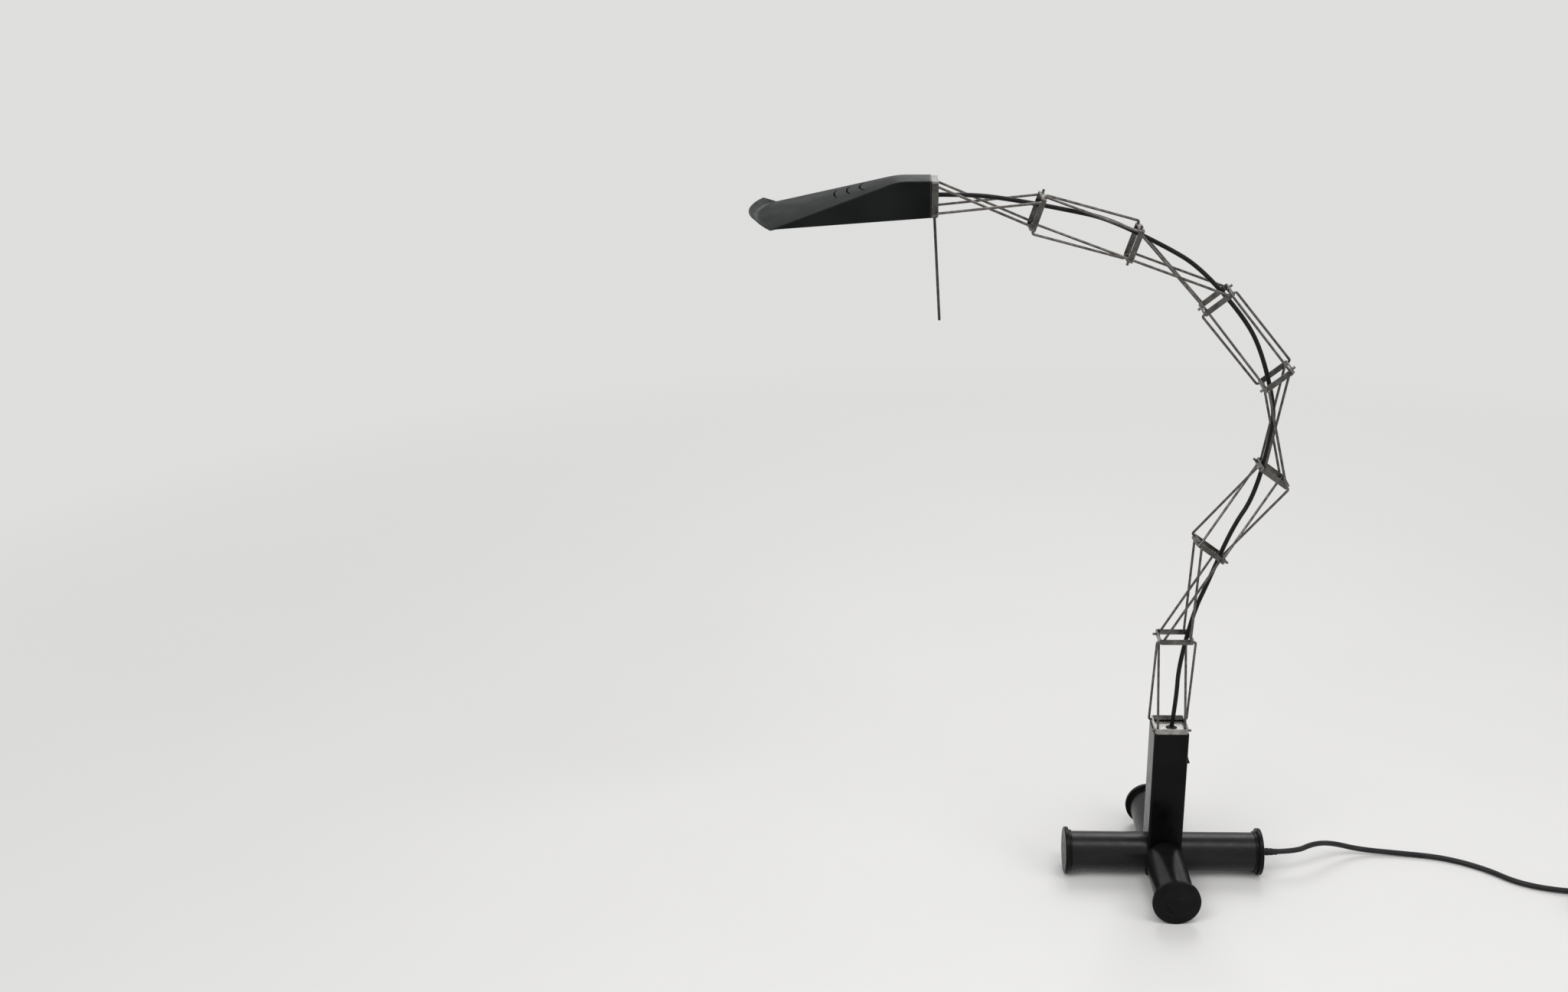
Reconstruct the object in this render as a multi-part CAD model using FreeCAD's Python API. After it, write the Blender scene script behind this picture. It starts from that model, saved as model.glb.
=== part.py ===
"""Accordion desk lamp, in millimetres.

+Z is up and the origin is on the table, under the middle of the square post.
+X runs out of the leg that the mains cord leaves, -X is the side the head hangs over.
The arm is a chain of square strip frames.  Two neighbouring frames are joined by a
cell of four bent wire rods: two crossing outside the plates, two crossing inside.
"""
import math
import os

import FreeCAD
import Part
from FreeCAD import Placement, Rotation, Vector

# ---- post -------------------------------------------------------------------
POST_SIDE = 40.0
POST_WALL = 2.0
POST_CORNER = 2.5
POST_LIFT = 0.8            # the post's lower end above the legs' undersides
POST_TOP = 190.0
COVER_THICK = 2.0
TOP_PLATE_THICK = 1.5
TOP_PLATE_GAP = 3.0        # open strip behind the top plate
POST_LEAD_HOLE = 14.0

# ---- cross base -------------------------------------------------------------
CAP_DIAMETER = 55.0
CAP_FLAT = 0.3             # flat that each cap rests on
CAP_FLANGE = 5.0
CAP_STEP_DIAMETER = 48.0
CAP_STEP = 3.5
CAP_SPIGOT = 10.0
CAP_EDGE_ROUND = 1.2
CAP_RING_DIAMETERS = (34.0, 17.0)
CAP_RING_WIDTH = 1.6
CAP_RING_DEPTH = 0.5
BASE_REACH = 115.7         # post axis to a cap's outer face
LEG_DIAMETER = 45.0
LEG_WALL = 2.0
BALLAST_GAP = 11.2         # from the post's face to a bar
LEAD_BORE = 12.0

# ---- switch -----------------------------------------------------------------
SWITCH_HEIGHT = 155.5
SWITCH_BEZEL = (27.0, 14.0, 1.5)     # tall, wide, proud of the post
SWITCH_BODY = (24.0, 12.0, 12.0)     # tall, wide, deep
ROCKER_RADIUS = 10.5
ROCKER_WIDTH = 8.8
ROCKER_CROWN = 4.0
ROCKER_DIP = 2.6
ROCKER_THICK = 5.0
ROCKER_TILT = 9.0
ROCKER_GAP = 0.4
TRUNNION_DIAMETER = 2.0
TRUNNION_GAP = 0.05

# ---- arm: frames and rods ---------------------------------------------------
FRAME_SIDE = 38.0
STRIP_THICK = 1.5
STRIP_HEIGHT = 6.0
STRIP_CORNER = 3.0
COLLAR_TOP = 196.8
FIRST_FRAME = 192.4        # height of the lowest frame's middle plane
HEAD_COLLAR = (3.0, 4.0)   # behind and in front of the last frame's middle plane
ROD_DIAMETER = 2.8
ROD_LENGTH = 111.4         # pivot to pivot
PIVOT_SPACING = 28.6
PIVOT_RAISE = 1.1          # pivots above and below a frame's middle plane
PIVOT_GAP = 0.05           # radial, rod in plate
OUTER_OFFSET = 2.8         # rod axis outside the plate
OUTER_BEND = 2.4
OUTER_TIP = 0.6            # shows inside the plate
INNER_OFFSET = 2.0         # rod axis inside the plate
INNER_BEND = 1.5
INNER_TIP = 3.5            # shows outside the plate
OPEN_GAP = 0.5             # open pivot: rod end to plate
OPEN_SHIFT = 0.9           # open pivot: rod end drawn in, sideways

# Lean of each frame on the one below, in degrees.  Odd cells lean towards +Y,
# even cells towards +X.
LEANS = (4.8, 35.7, -5.1, -74.9, -1.7, -32.6, -2.0, -18.1)

# ---- arm cable --------------------------------------------------------------
CABLE_DIAMETER = 5.0
# Where the cable passes each frame, from its middle along the frame's own x and y.
CABLE_OFFSETS = ((2.3, 0.0), (13.8, 0.0), (13.6, -4.0), (-12.8, 2.0), (-9.6, 0.0),
                 (9.5, 8.0), (9.8, 9.0), (6.5, 7.0), (1.5, 0.0))
CABLE_PULL = 0.32          # share of a cell's length before the cable turns
GROMMET_DIAMETER = 13.0
GROMMET_HEIGHT = 4.5
GROMMET_NECK = 9.0
TERMINAL_BLOCK = (20.0, 10.0, 20.0)
TERMINAL_FOOT = 105.0
WIRING_TOP = 18.0          # the cable's first bend, below the post's top
WIRING_RUNS = (21.0, 25.0)           # straight runs above and below the block
LEAD_TURN = (6.0, 24.8)              # the lead's bend behind the post's axis and above the legs'

# ---- head -------------------------------------------------------------------
SHADE_BOX_WIDTH = 39.3
SHADE_BOX_HEIGHT = 38.9
SHADE_FOLD = 34.0          # rear edge to fold
SHADE_FOLD_WIDTH = 40.0
SHADE_FOLD_RISE = 2.0      # crown of the fold
SHADE_BEND = 11.0          # length of the bend on each side of the fold
SHADE_WIDTH = 144.0
SHADE_REACH = 185.5        # rear edge to the middle of the front edge
SHADE_FRONT_RADIUS = 150.0
SHEET = 1.0
BRIM_OUT = 7.2
BRIM_RISE = 6.8
BRIM_SPAN = 45.0           # degrees of the brim at its full width
BULKHEAD = 1.5
SLOT_PLACES = (75.0, 88.5, 102.0)
SLOT_WIDTH = 2.2
SLOT_SPAN = 40.0
HOLDER_HEIGHT = 12.0
HOLDER_FLANGE = (12.0, 2.0)
HOLDER_STEM = 6.0
HOLDER_BODY = (18.0, 20.0, 44.0)     # diameter, start, end
BULB_DIAMETER = 13.0
BULB_LENGTH = 47.0
BULB_SEAT = (9.0, 6.0)               # diameter, depth in the holder
HANDLE_DIAMETER = 3.0
HANDLE_LENGTH = 117.0
HANDLE_LEAN = 3.5
HANDLE_BOSS = (7.0, 4.0)

# ---- mains cord -------------------------------------------------------------
CORD_DIAMETER = 6.3
RELIEF_LENGTH = 20.0
RELIEF_DIAMETER = 9.5
RELIEF_NECK = 7.2
RELIEF_SEAT = (13.0, 2.5)
COIL_OUTER = 44.0          # radius at the middle of the outer turn
COIL_PITCH = 6.9
COIL_TURNS = 2.75          # in each of the two layers
COIL_LIFT = 0.8
COIL_CENTRE = (508.0, -88.0)
COIL_START = 90.0          # direction of the coil's first point, degrees
COIL_EXIT = 22.0           # how far the last quarter turn swings out to the plug
COIL_ENTRY = 46.0          # straight way into the coil
TIE_WIDTH = 8.0
TIE_THICK = 0.6
TIE_ROOM = 2.0
PLUG_BODY = (35.0, 33.0, 14.0)       # long, wide, thick
PLUG_NOSE = 20.0
PIN_DIAMETER = 4.0
PIN_LENGTH = 19.0
PIN_SPACING = 19.0
PIN_ROOT = (6.0, 8.0)                # diameter and length inside the plug

AXIS_HEIGHT = CAP_DIAMETER / 2 - CAP_FLAT
POST_FOOT = AXIS_HEIGHT - LEG_DIAMETER / 2 + POST_LIFT
POST_INSIDE = POST_SIDE / 2 - POST_WALL
PLATE_OUT = FRAME_SIDE / 2
PLATE_IN = PLATE_OUT - STRIP_THICK
X, Y, Z = Vector(1, 0, 0), Vector(0, 1, 0), Vector(0, 0, 1)


# ---- general shapes ---------------------------------------------------------
def block(x_range, y_range, z_range):
    """A box between the given coordinates."""
    (x0, x1), (y0, y1), (z0, z1) = x_range, y_range, z_range
    return Part.makeBox(x1 - x0, y1 - y0, z1 - z0, Vector(x0, y0, z0))


def square_prism(side, corner, bottom, top):
    """An upright square bar about the Z axis, with rounded corners."""
    half = side / 2
    bar = block((-half, half), (-half, half), (bottom, top))
    upright = [edge for edge in bar.Edges if abs(edge.tangentAt(0).z) > 0.9]
    return bar.makeFillet(corner, upright)


def square_tube(side, wall, corner, bottom, top):
    """An upright square tube about the Z axis."""
    inner_corner = max(corner - wall, 0.3)
    outer = square_prism(side, corner, bottom, top)
    return outer.cut(square_prism(side - 2 * wall, inner_corner, bottom - 1, top + 1))


def turned(profile, start, axis):
    """A solid of revolution: profile is (distance along the axis, radius)."""
    points = [Vector(radius, 0, along) for along, radius in profile]
    face = Part.Face(Part.makePolygon(points + points[:1]))
    solid = face.revolve(Vector(), Z, 360)
    solid.Placement = Placement(start, Rotation(Z, axis))
    return solid


def moved(shape, placement):
    """A copy of a shape, carried into a placement."""
    copy = shape.copy()
    copy.Placement = placement.multiply(copy.Placement)
    return copy


def tangent_arc(start, corner, end):
    """The arc that leaves start towards corner and comes into end from it."""
    middle = (start + end) / 2
    tangent = (corner - start).Length
    half_turn = math.pi / 2 - (start - corner).getAngle(end - corner) / 2
    if half_turn < 1e-5:
        return Part.LineSegment(start, end).toShape()
    radius = tangent / math.tan(half_turn)
    rise = radius / math.cos(half_turn) - radius
    crest = corner + (middle - corner).normalize() * rise
    return Part.Arc(start, crest, end).toShape()


def tube(edges, diameter):
    """A round bar or cable along edges that join smoothly."""
    start = edges[0].valueAt(edges[0].FirstParameter)
    direction = edges[0].tangentAt(edges[0].FirstParameter)
    section = Part.Wire(Part.makeCircle(diameter / 2, start, direction))
    return Part.Wire(edges).makePipeShell([section], True, False)


def bent_path(points, bend):
    """Straight runs joined by bends of one radius."""
    edges, here = [], points[0]
    for before, corner, after in zip(points, points[1:], points[2:]):
        into, out = (corner - before).normalize(), (after - corner).normalize()
        reach = bend * math.tan(into.getAngle(out) / 2)
        leave, arrive = corner - into * reach, corner + out * reach
        if (leave - here).Length > 1e-6:
            edges.append(Part.LineSegment(here, leave).toShape())
        edges.append(tangent_arc(leave, corner, arrive))
        here = arrive
    if (points[-1] - here).Length > 1e-6:
        edges.append(Part.LineSegment(here, points[-1]).toShape())
    return edges


def cord_path(points, name, floor_radius=0.0):
    """Straight runs joined by arcs as large as their runs allow."""
    edges, here, radii = [], points[0], []
    for before, corner, after in zip(points, points[1:], points[2:]):
        into, out = corner - before, after - corner
        reach = 0.45 * min(into.Length, out.Length)
        radii.append(reach / math.tan(into.getAngle(out) / 2))
        leave = corner - into.normalize() * reach
        arrive = corner + out.normalize() * reach
        edges.append(Part.LineSegment(here, leave).toShape())
        edges.append(tangent_arc(leave, corner, arrive))
        here = arrive
    edges.append(Part.LineSegment(here, points[-1]).toShape())
    print(name, "radii", [round(radius, 1) for radius in radii], "least allowed", floor_radius)
    return edges


def cord_tube(points, diameter, name):
    """A free cord or a held cable, its volume compared with section times length."""
    edges = cord_path(points, name, 5 * diameter)
    solid = tube(edges, diameter)
    length = sum(edge.Length for edge in edges)
    ratio = solid.Volume / (math.pi * diameter ** 2 / 4 * length)
    print(name, "length", round(length, 1), "volume ratio", round(ratio, 4))
    return solid


# ---- places of the frames ---------------------------------------------------
def cell_axis(cell):
    """The axis that a cell bends about, in its lower frame."""
    return Vector(-1, 0, 0) if cell % 2 else Vector(0, 1, 0)


def cell_rise(lean):
    """Pivot plane to pivot plane, along the middle of a leaning cell."""
    across = PIVOT_SPACING * math.cos(math.radians(lean) / 2)
    return math.sqrt(ROD_LENGTH ** 2 - across ** 2)


def frame_places():
    """The placement of each frame's middle plane, from the post to the head."""
    places = [Placement(Vector(0, 0, FIRST_FRAME), Rotation())]
    for cell, lean in enumerate(LEANS, 1):
        half = Placement(Vector(), Rotation(cell_axis(cell), lean / 2))
        raised = Placement(Z * PIVOT_RAISE, Rotation())
        rise = Placement(Z * cell_rise(lean), Rotation())
        step = raised.multiply(half).multiply(rise).multiply(half).multiply(raised)
        places.append(places[-1].multiply(step))
    return places


FRAMES = frame_places()
LAST = len(LEANS)
CAP_BACK = BASE_REACH - CAP_FLANGE


# ---- base -------------------------------------------------------------------
def leg_places():
    """The four directions of the cross, the cord's leg first."""
    return [Placement(Vector(0, 0, AXIS_HEIGHT), Rotation(Z, turn)) for turn in (0, 90, 180, 270)]


def rod_along_x(start, end, diameter):
    """A round bar on the X axis."""
    return Part.makeCylinder(diameter / 2, end - start, Vector(start, 0, 0), X)


def post():
    body = square_tube(POST_SIDE, POST_WALL, POST_CORNER, POST_FOOT, POST_TOP)
    tall, wide, _ = SWITCH_BODY
    window = block((0, POST_SIDE), (-wide / 2, wide / 2),
                   (SWITCH_HEIGHT - tall / 2, SWITCH_HEIGHT + tall / 2))
    lead_hole = Part.makeCylinder(POST_LEAD_HOLE / 2, POST_SIDE, Vector(0, 0, AXIS_HEIGHT), X)
    return body.cut(window.fuse(lead_hole))


def bottom_cover():
    inside = 2 * POST_INSIDE
    return square_prism(inside, max(POST_CORNER - POST_WALL, 0.3), POST_FOOT, POST_FOOT + COVER_THICK)


def top_plate():
    inside = 2 * POST_INSIDE
    plate = square_prism(inside, max(POST_CORNER - POST_WALL, 0.3), POST_TOP - TOP_PLATE_THICK, POST_TOP)
    gap = block((-POST_SIDE, POST_SIDE), (POST_INSIDE - TOP_PLATE_GAP, POST_SIDE), (0, COLLAR_TOP))
    neck = Part.makeCylinder(GROMMET_NECK / 2, COLLAR_TOP, Vector(*CABLE_OFFSETS[0], 0))
    return plate.cut(gap.fuse(neck))


def grommet():
    """A flange on each side of the top plate, joined by the neck in its hole."""
    flange = (GROMMET_HEIGHT - TOP_PLATE_THICK) / 2
    bore = CABLE_DIAMETER / 2
    profile = [(-flange, bore), (-flange, GROMMET_DIAMETER / 2), (0, GROMMET_DIAMETER / 2),
               (0, GROMMET_NECK / 2), (TOP_PLATE_THICK, GROMMET_NECK / 2),
               (TOP_PLATE_THICK, GROMMET_DIAMETER / 2), (TOP_PLATE_THICK + flange, GROMMET_NECK / 2),
               (TOP_PLATE_THICK + flange, bore)]
    return turned(profile, Vector(*CABLE_OFFSETS[0], POST_TOP - TOP_PLATE_THICK), Z)


def leg():
    """One tube of the cross along +X, mitred where it passes the post's corners."""
    end = CAP_BACK - CAP_STEP
    start = POST_SIDE / 2
    bar = rod_along_x(start, end, LEG_DIAMETER)
    bore = rod_along_x(start - 1, end + 1, LEG_DIAMETER - 2 * LEG_WALL)
    mitre = Part.makePolygon([Vector(0, 0, -LEG_DIAMETER), Vector(end, -end, -LEG_DIAMETER),
                              Vector(end, end, -LEG_DIAMETER), Vector(0, 0, -LEG_DIAMETER)])
    wedge = Part.Face(mitre).extrude(Z * 2 * LEG_DIAMETER)
    return bar.cut(bore).common(wedge)


def ballast_bar():
    end = CAP_BACK - CAP_STEP - CAP_SPIGOT
    bar = rod_along_x(POST_SIDE / 2 + BALLAST_GAP, end, LEG_DIAMETER - 2 * LEG_WALL)
    return bar.cut(rod_along_x(0, end + 1, LEAD_BORE))


def cap(bored):
    """A moulded end cap: flange, inboard step, spigot and two ring grooves."""
    spigot = (LEG_DIAMETER - 2 * LEG_WALL) / 2
    step_start = CAP_BACK - CAP_STEP
    edge = CAP_DIAMETER / 2
    rings = []
    for diameter in CAP_RING_DIAMETERS:
        ring = diameter / 2
        rings += [(BASE_REACH, ring), (BASE_REACH - CAP_RING_DEPTH, ring - CAP_RING_WIDTH / 2),
                  (BASE_REACH, ring - CAP_RING_WIDTH)]
    profile = [(step_start - CAP_SPIGOT, 0), (step_start - CAP_SPIGOT, spigot - 1),
               (step_start - CAP_SPIGOT + 1, spigot), (step_start, spigot),
               (step_start, CAP_STEP_DIAMETER / 2), (CAP_BACK, CAP_STEP_DIAMETER / 2),
               (CAP_BACK, edge - CAP_EDGE_ROUND / 2), (CAP_BACK + CAP_EDGE_ROUND / 2, edge),
               (BASE_REACH - CAP_EDGE_ROUND, edge),
               (BASE_REACH - CAP_EDGE_ROUND / 3, edge - CAP_EDGE_ROUND / 3),
               (BASE_REACH, edge - CAP_EDGE_ROUND), *rings, (BASE_REACH, 0)]
    solid = turned(profile, Vector(), X)
    table = block((0, 2 * BASE_REACH), (-edge, edge), (-2 * edge, -AXIS_HEIGHT))
    if bored:
        table = table.fuse(rod_along_x(0, 2 * BASE_REACH, CORD_DIAMETER))
    return solid.cut(table)


# ---- switch -----------------------------------------------------------------
def switch_body():
    """Bezel on the post's face and an open housing behind it."""
    face = POST_SIDE / 2
    tall, wide, proud = SWITCH_BEZEL
    body_tall, body_wide, deep = SWITCH_BODY
    opening_tall = 2 * (ROCKER_RADIUS + ROCKER_GAP)
    opening_wide = ROCKER_WIDTH + 2 * ROCKER_GAP
    bezel = block((face, face + proud), (-wide / 2, wide / 2), (-tall / 2, tall / 2))
    rim = [edge for edge in bezel.Edges if edge.CenterOfMass.x > face + proud - 0.01]
    bezel = bezel.makeFillet(0.8, rim)
    housing = block((face - deep, face), (-body_wide / 2, body_wide / 2), (-body_tall / 2, body_tall / 2))
    pocket = block((face - deep + 1.2, face + 2 * proud), (-opening_wide / 2, opening_wide / 2),
                   (-opening_tall / 2, opening_tall / 2))
    pin_hole = Part.makeCylinder(TRUNNION_DIAMETER / 2 + TRUNNION_GAP, body_wide,
                                 Vector(face, -body_wide / 2, 0), Y)
    solid = bezel.fuse(housing).cut(pocket.fuse(pin_hole)).removeSplitter()
    return moved(solid, Placement(Z * SWITCH_HEIGHT, Rotation()))


def rocker():
    """A dished rocker on two trunnions, its upper half out."""
    half = ROCKER_RADIUS * 0.93
    depth = ROCKER_THICK - ROCKER_DIP
    low = math.sqrt(ROCKER_RADIUS ** 2 - depth ** 2)
    high = math.sqrt(ROCKER_RADIUS ** 2 - ROCKER_CROWN ** 2)
    end_up, end_down = Vector(ROCKER_CROWN, 0, high), Vector(ROCKER_CROWN, 0, -high)
    back_up, back_down = Vector(-depth, 0, low), Vector(-depth, 0, -low)
    edges = [Part.Arc(end_down, Vector(ROCKER_DIP, 0, 0), end_up),
             Part.Arc(end_up, Vector(0, 0, ROCKER_RADIUS), back_up),
             Part.LineSegment(back_up, Vector(-depth, 0, half / 2)),
             Part.LineSegment(Vector(-depth, 0, half / 2), Vector(-depth, 0, -half / 2)),
             Part.LineSegment(Vector(-depth, 0, -half / 2), back_down),
             Part.Arc(back_down, Vector(0, 0, -ROCKER_RADIUS), end_down)]
    outline = Part.Wire([edge.toShape() for edge in edges])
    paddle = Part.Face(outline).extrude(Y * ROCKER_WIDTH)
    paddle = moved(paddle, Placement(Y * (-ROCKER_WIDTH / 2), Rotation()))
    pin_length = SWITCH_BODY[1] - 2 * ROCKER_GAP
    pin = Part.makeCylinder(TRUNNION_DIAMETER / 2, pin_length, Y * (-pin_length / 2), Y)
    place = Placement(Vector(POST_SIDE / 2, 0, SWITCH_HEIGHT), Rotation(Y, -ROCKER_TILT))
    return moved(paddle.fuse(pin).removeSplitter(), place)


def terminal_block():
    wide, deep, tall = TERMINAL_BLOCK
    return block((-wide / 2, wide / 2), (POST_INSIDE - deep, POST_INSIDE),
                 (TERMINAL_FOOT, TERMINAL_FOOT + tall))


def post_wiring():
    """The arm cable's lower end and the mains lead's last stretch, at the terminal block."""
    back = POST_INSIDE - TERMINAL_BLOCK[1] / 2
    top = TERMINAL_FOOT + TERMINAL_BLOCK[2]
    above, under = WIRING_RUNS
    behind, over = LEAD_TURN
    cable = [Vector(*CABLE_OFFSETS[0], POST_TOP + 1), Vector(*CABLE_OFFSETS[0], POST_TOP - WIRING_TOP),
             Vector(0, back, top + above), Vector(0, back, top)]
    lead = [Vector(0, back, TERMINAL_FOOT), Vector(0, back, TERMINAL_FOOT - under),
            Vector(-behind, 0, AXIS_HEIGHT + over), Vector(0, 0, AXIS_HEIGHT),
            Vector(BASE_REACH, 0, AXIS_HEIGHT)]
    cable_tube = tube(bent_path(cable, 14), CABLE_DIAMETER)
    return Part.Compound([cable_tube, tube(bent_path(lead, 14), CORD_DIAMETER)])


# ---- arm --------------------------------------------------------------------
def plate_holes(cell, level, reach_of):
    """Pivot holes of one cell in the two plates that it is joined to."""
    axis = cell_axis(cell)
    lean_side = axis.cross(Z)
    holes = []
    for along in (-1, 1):
        for side in (-1, 1):
            radius = reach_of(along)
            foot = lean_side * (along * PIVOT_SPACING / 2) + Z * level + axis * (side * (PLATE_IN - 1))
            holes.append(Part.makeCylinder(radius, STRIP_THICK + 2, foot, axis * side))
    return holes


def running_hole(_along):
    return ROD_DIAMETER / 2 + PIVOT_GAP


def upper_hole(along):
    """An inner rod's tip is fixed in its upper hole; an outer rod turns in it."""
    return ROD_DIAMETER / 2 if along > 0 else running_hole(along)


def rod_tips(cell):
    """The outer ends of the two inner rods, seated in the upper frame."""
    axis = cell_axis(cell)
    tips = []
    for side in (-1, 1):
        foot = axis.cross(Z) * (PIVOT_SPACING / 2) - Z * PIVOT_RAISE + axis * (side * PLATE_IN)
        tip = Part.makeCylinder(ROD_DIAMETER / 2, STRIP_THICK + INNER_TIP, foot, axis * side)
        tips.append(tip)
    return tips


def frame(index):
    """A square strip frame with the pivot holes of the cells below and above it."""
    below, above = STRIP_HEIGHT / 2, STRIP_HEIGHT / 2
    if index == 0:
        below, above = FIRST_FRAME - POST_TOP, COLLAR_TOP - FIRST_FRAME
    if index == LAST:
        below, above = HEAD_COLLAR
    strip = square_tube(FRAME_SIDE, STRIP_THICK, STRIP_CORNER, -below, above)
    holes, tips = [], []
    if index > 0:
        holes += plate_holes(index, -PIVOT_RAISE, upper_hole)
        tips = rod_tips(index)
    if index < LAST:
        holes += plate_holes(index + 1, PIVOT_RAISE, running_hole)
    strip = strip.cut(holes[0].multiFuse(holes[1:]))
    solids = [moved(solid, FRAMES[index]) for solid in [strip] + tips]
    return Part.Compound(solids) if tips else solids[0]


def pivots(cell):
    """Lower and upper pivots of a cell, as (across, up) in its lower frame's pivot plane."""
    lean = math.radians(LEANS[cell - 1])
    rise = cell_rise(LEANS[cell - 1])
    middle = Vector(rise * math.sin(lean / 2), rise * math.cos(lean / 2), 0)
    reach = Vector(math.cos(lean), -math.sin(lean), 0) * (PIVOT_SPACING / 2)
    foot = Vector(PIVOT_SPACING / 2, 0, 0)
    return {"lower -": -foot, "lower +": foot, "upper -": middle - reach, "upper +": middle + reach}


def rod_pair(cell, inner):
    """The two equal rods of a cell that cross outside, or inside, two opposite plates."""
    axis = cell_axis(cell)
    across = axis.cross(Z)
    pivot = pivots(cell)
    start, end = (pivot["lower -"], pivot["upper +"]) if inner else (pivot["lower +"], pivot["upper -"])
    if inner:
        lean = math.radians(LEANS[cell - 1])
        end = end - Vector(math.cos(lean), -math.sin(lean), 0) * OPEN_SHIFT
    rods = []
    for side in (-1, 1):
        if inner:
            depth, bend = PLATE_IN - INNER_OFFSET, INNER_BEND
            start_depth, end_depth = PLATE_OUT + INNER_TIP, PLATE_IN - OPEN_GAP
        else:
            depth, bend = PLATE_OUT + OUTER_OFFSET, OUTER_BEND
            start_depth = end_depth = PLATE_IN - OUTER_TIP
        corners = [(start, start_depth), (start, depth), (end, depth), (end, end_depth)]
        points = [across * at.x + Z * (at.y + PIVOT_RAISE) + axis * (side * out) for at, out in corners]
        rods.append(moved(tube(bent_path(points, bend), ROD_DIAMETER), FRAMES[cell - 1]))
    return Part.Compound(rods)


def cable_points():
    """Where the cable passes each frame, and the way that it is heading there."""
    places = [FRAMES[0].multVec(Vector(*CABLE_OFFSETS[0], POST_TOP + 1 - FIRST_FRAME))]
    places += [FRAMES[i].multVec(Vector(*CABLE_OFFSETS[i], 0)) for i in range(1, LAST + 1)]
    headings = [Vector(0, 0, 1)]
    headings += [(places[i + 1] - places[i - 1]).normalize() for i in range(1, LAST)]
    headings.append(FRAMES[LAST].Rotation.multVec(Z))
    return places, headings


def arm_cable(cell):
    """The cable's stretch through one cell."""
    places, headings = cable_points()
    start, end = places[cell - 1], places[cell]
    pull = (end - start).Length * CABLE_PULL
    points = [start, start + headings[cell - 1] * pull, end - headings[cell] * pull, end]
    return cord_tube(points, CABLE_DIAMETER, "arm_cable_%d" % cell)


# ---- head -------------------------------------------------------------------
# The head is drawn with its own axes: x from its rear edge to the front,
# z up from its open lower side.
HEAD_START = HEAD_COLLAR[1] + BULKHEAD
HEAD_PLACE = FRAMES[LAST].multiply(
    Placement(Vector(-SHADE_BOX_HEIGHT / 2, 0, HEAD_START), Rotation(Vector(1, 0, 1), 180)))
FRONT_CENTRE = SHADE_REACH - SHADE_FRONT_RADIUS
CORNER_X = FRONT_CENTRE + math.sqrt(SHADE_FRONT_RADIUS ** 2 - (SHADE_WIDTH / 2) ** 2)
HEAD_CABLE_HEIGHT = SHADE_BOX_HEIGHT / 2 + CABLE_OFFSETS[LAST][0]


def sheet_panel(corners, thickness):
    """A flat panel through its corners, thickened along a vector."""
    return Part.Face(Part.makePolygon(corners + corners[:1])).extrude(thickness)


def front_arc(radius, height, half_width):
    """An arc about the shade's front centre."""
    reach = math.sqrt(radius ** 2 - half_width ** 2)
    return Part.Arc(Vector(FRONT_CENTRE + reach, -half_width, height),
                    Vector(FRONT_CENTRE + radius, 0, height),
                    Vector(FRONT_CENTRE + reach, half_width, height)).toShape()


def shade_brim():
    """The flared brim: a cone sheet whose ends are cut back to the front corners."""
    down = Z * (-SHEET)
    inner_half = SHADE_WIDTH / 2
    outer_radius = SHADE_FRONT_RADIUS + BRIM_OUT
    outer_half = outer_radius * math.sin(math.radians(BRIM_SPAN / 2))
    inner = front_arc(SHADE_FRONT_RADIUS, 0, inner_half)
    outer = front_arc(outer_radius, BRIM_RISE, outer_half)
    return Part.makeRuledSurface(inner, outer).extrude(down)


def shade_slots():
    """Curved vent slots, parallel to the front edge."""
    cutters = []
    for place in SLOT_PLACES:
        radius = place - FRONT_CENTRE
        centre = Vector(FRONT_CENTRE, 0, -SHADE_BOX_HEIGHT)
        ring = Part.makeCylinder(radius + SLOT_WIDTH / 2, 3 * SHADE_BOX_HEIGHT, centre)
        ring = ring.cut(Part.makeCylinder(radius - SLOT_WIDTH / 2, 3 * SHADE_BOX_HEIGHT, centre))
        window = block((FRONT_CENTRE, SHADE_REACH), (-SLOT_SPAN / 2, SLOT_SPAN / 2),
                       (0, 2 * SHADE_BOX_HEIGHT))
        cutters.append(ring.common(window))
    return cutters


def top_line(reach):
    """Left, middle and right of the shade's top at a share of its length: 0 rear, 1 fold, 2 front."""
    half, fold_half, height = SHADE_BOX_WIDTH / 2, SHADE_FOLD_WIDTH / 2, SHADE_BOX_HEIGHT
    rear = [Vector(0, -half, height), Vector(0, 0, height), Vector(0, half, height)]
    fold = [Vector(SHADE_FOLD, -fold_half, height), Vector(SHADE_FOLD, 0, height + SHADE_FOLD_RISE),
            Vector(SHADE_FOLD, fold_half, height)]
    front = [Vector(CORNER_X, -SHADE_WIDTH / 2, 0), Vector(FRONT_CENTRE + SHADE_FRONT_RADIUS, 0, 0),
             Vector(CORNER_X, SHADE_WIDTH / 2, 0)]
    if reach < 1:
        return [a + (b - a) * reach for a, b in zip(rear, fold)]
    return [a + (b - a) * (reach - 1) for a, b in zip(fold, front)]


def top_lines():
    """The lines across the shade's top between which it is flat, the bend's lines among them."""
    flats = 4
    before = top_line(1 - SHADE_BEND / SHADE_FOLD)
    fold = top_line(1)
    after = top_line(1 + SHADE_BEND / (SHADE_REACH - SHADE_FOLD))
    lines = [top_line(0)]
    for i in range(flats + 1):
        share = i / flats
        lines.append([a * (1 - share) ** 2 + b * 2 * share * (1 - share) + c * share ** 2
                      for a, b, c in zip(before, fold, after)])
    return lines + [top_line(2)]


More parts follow.
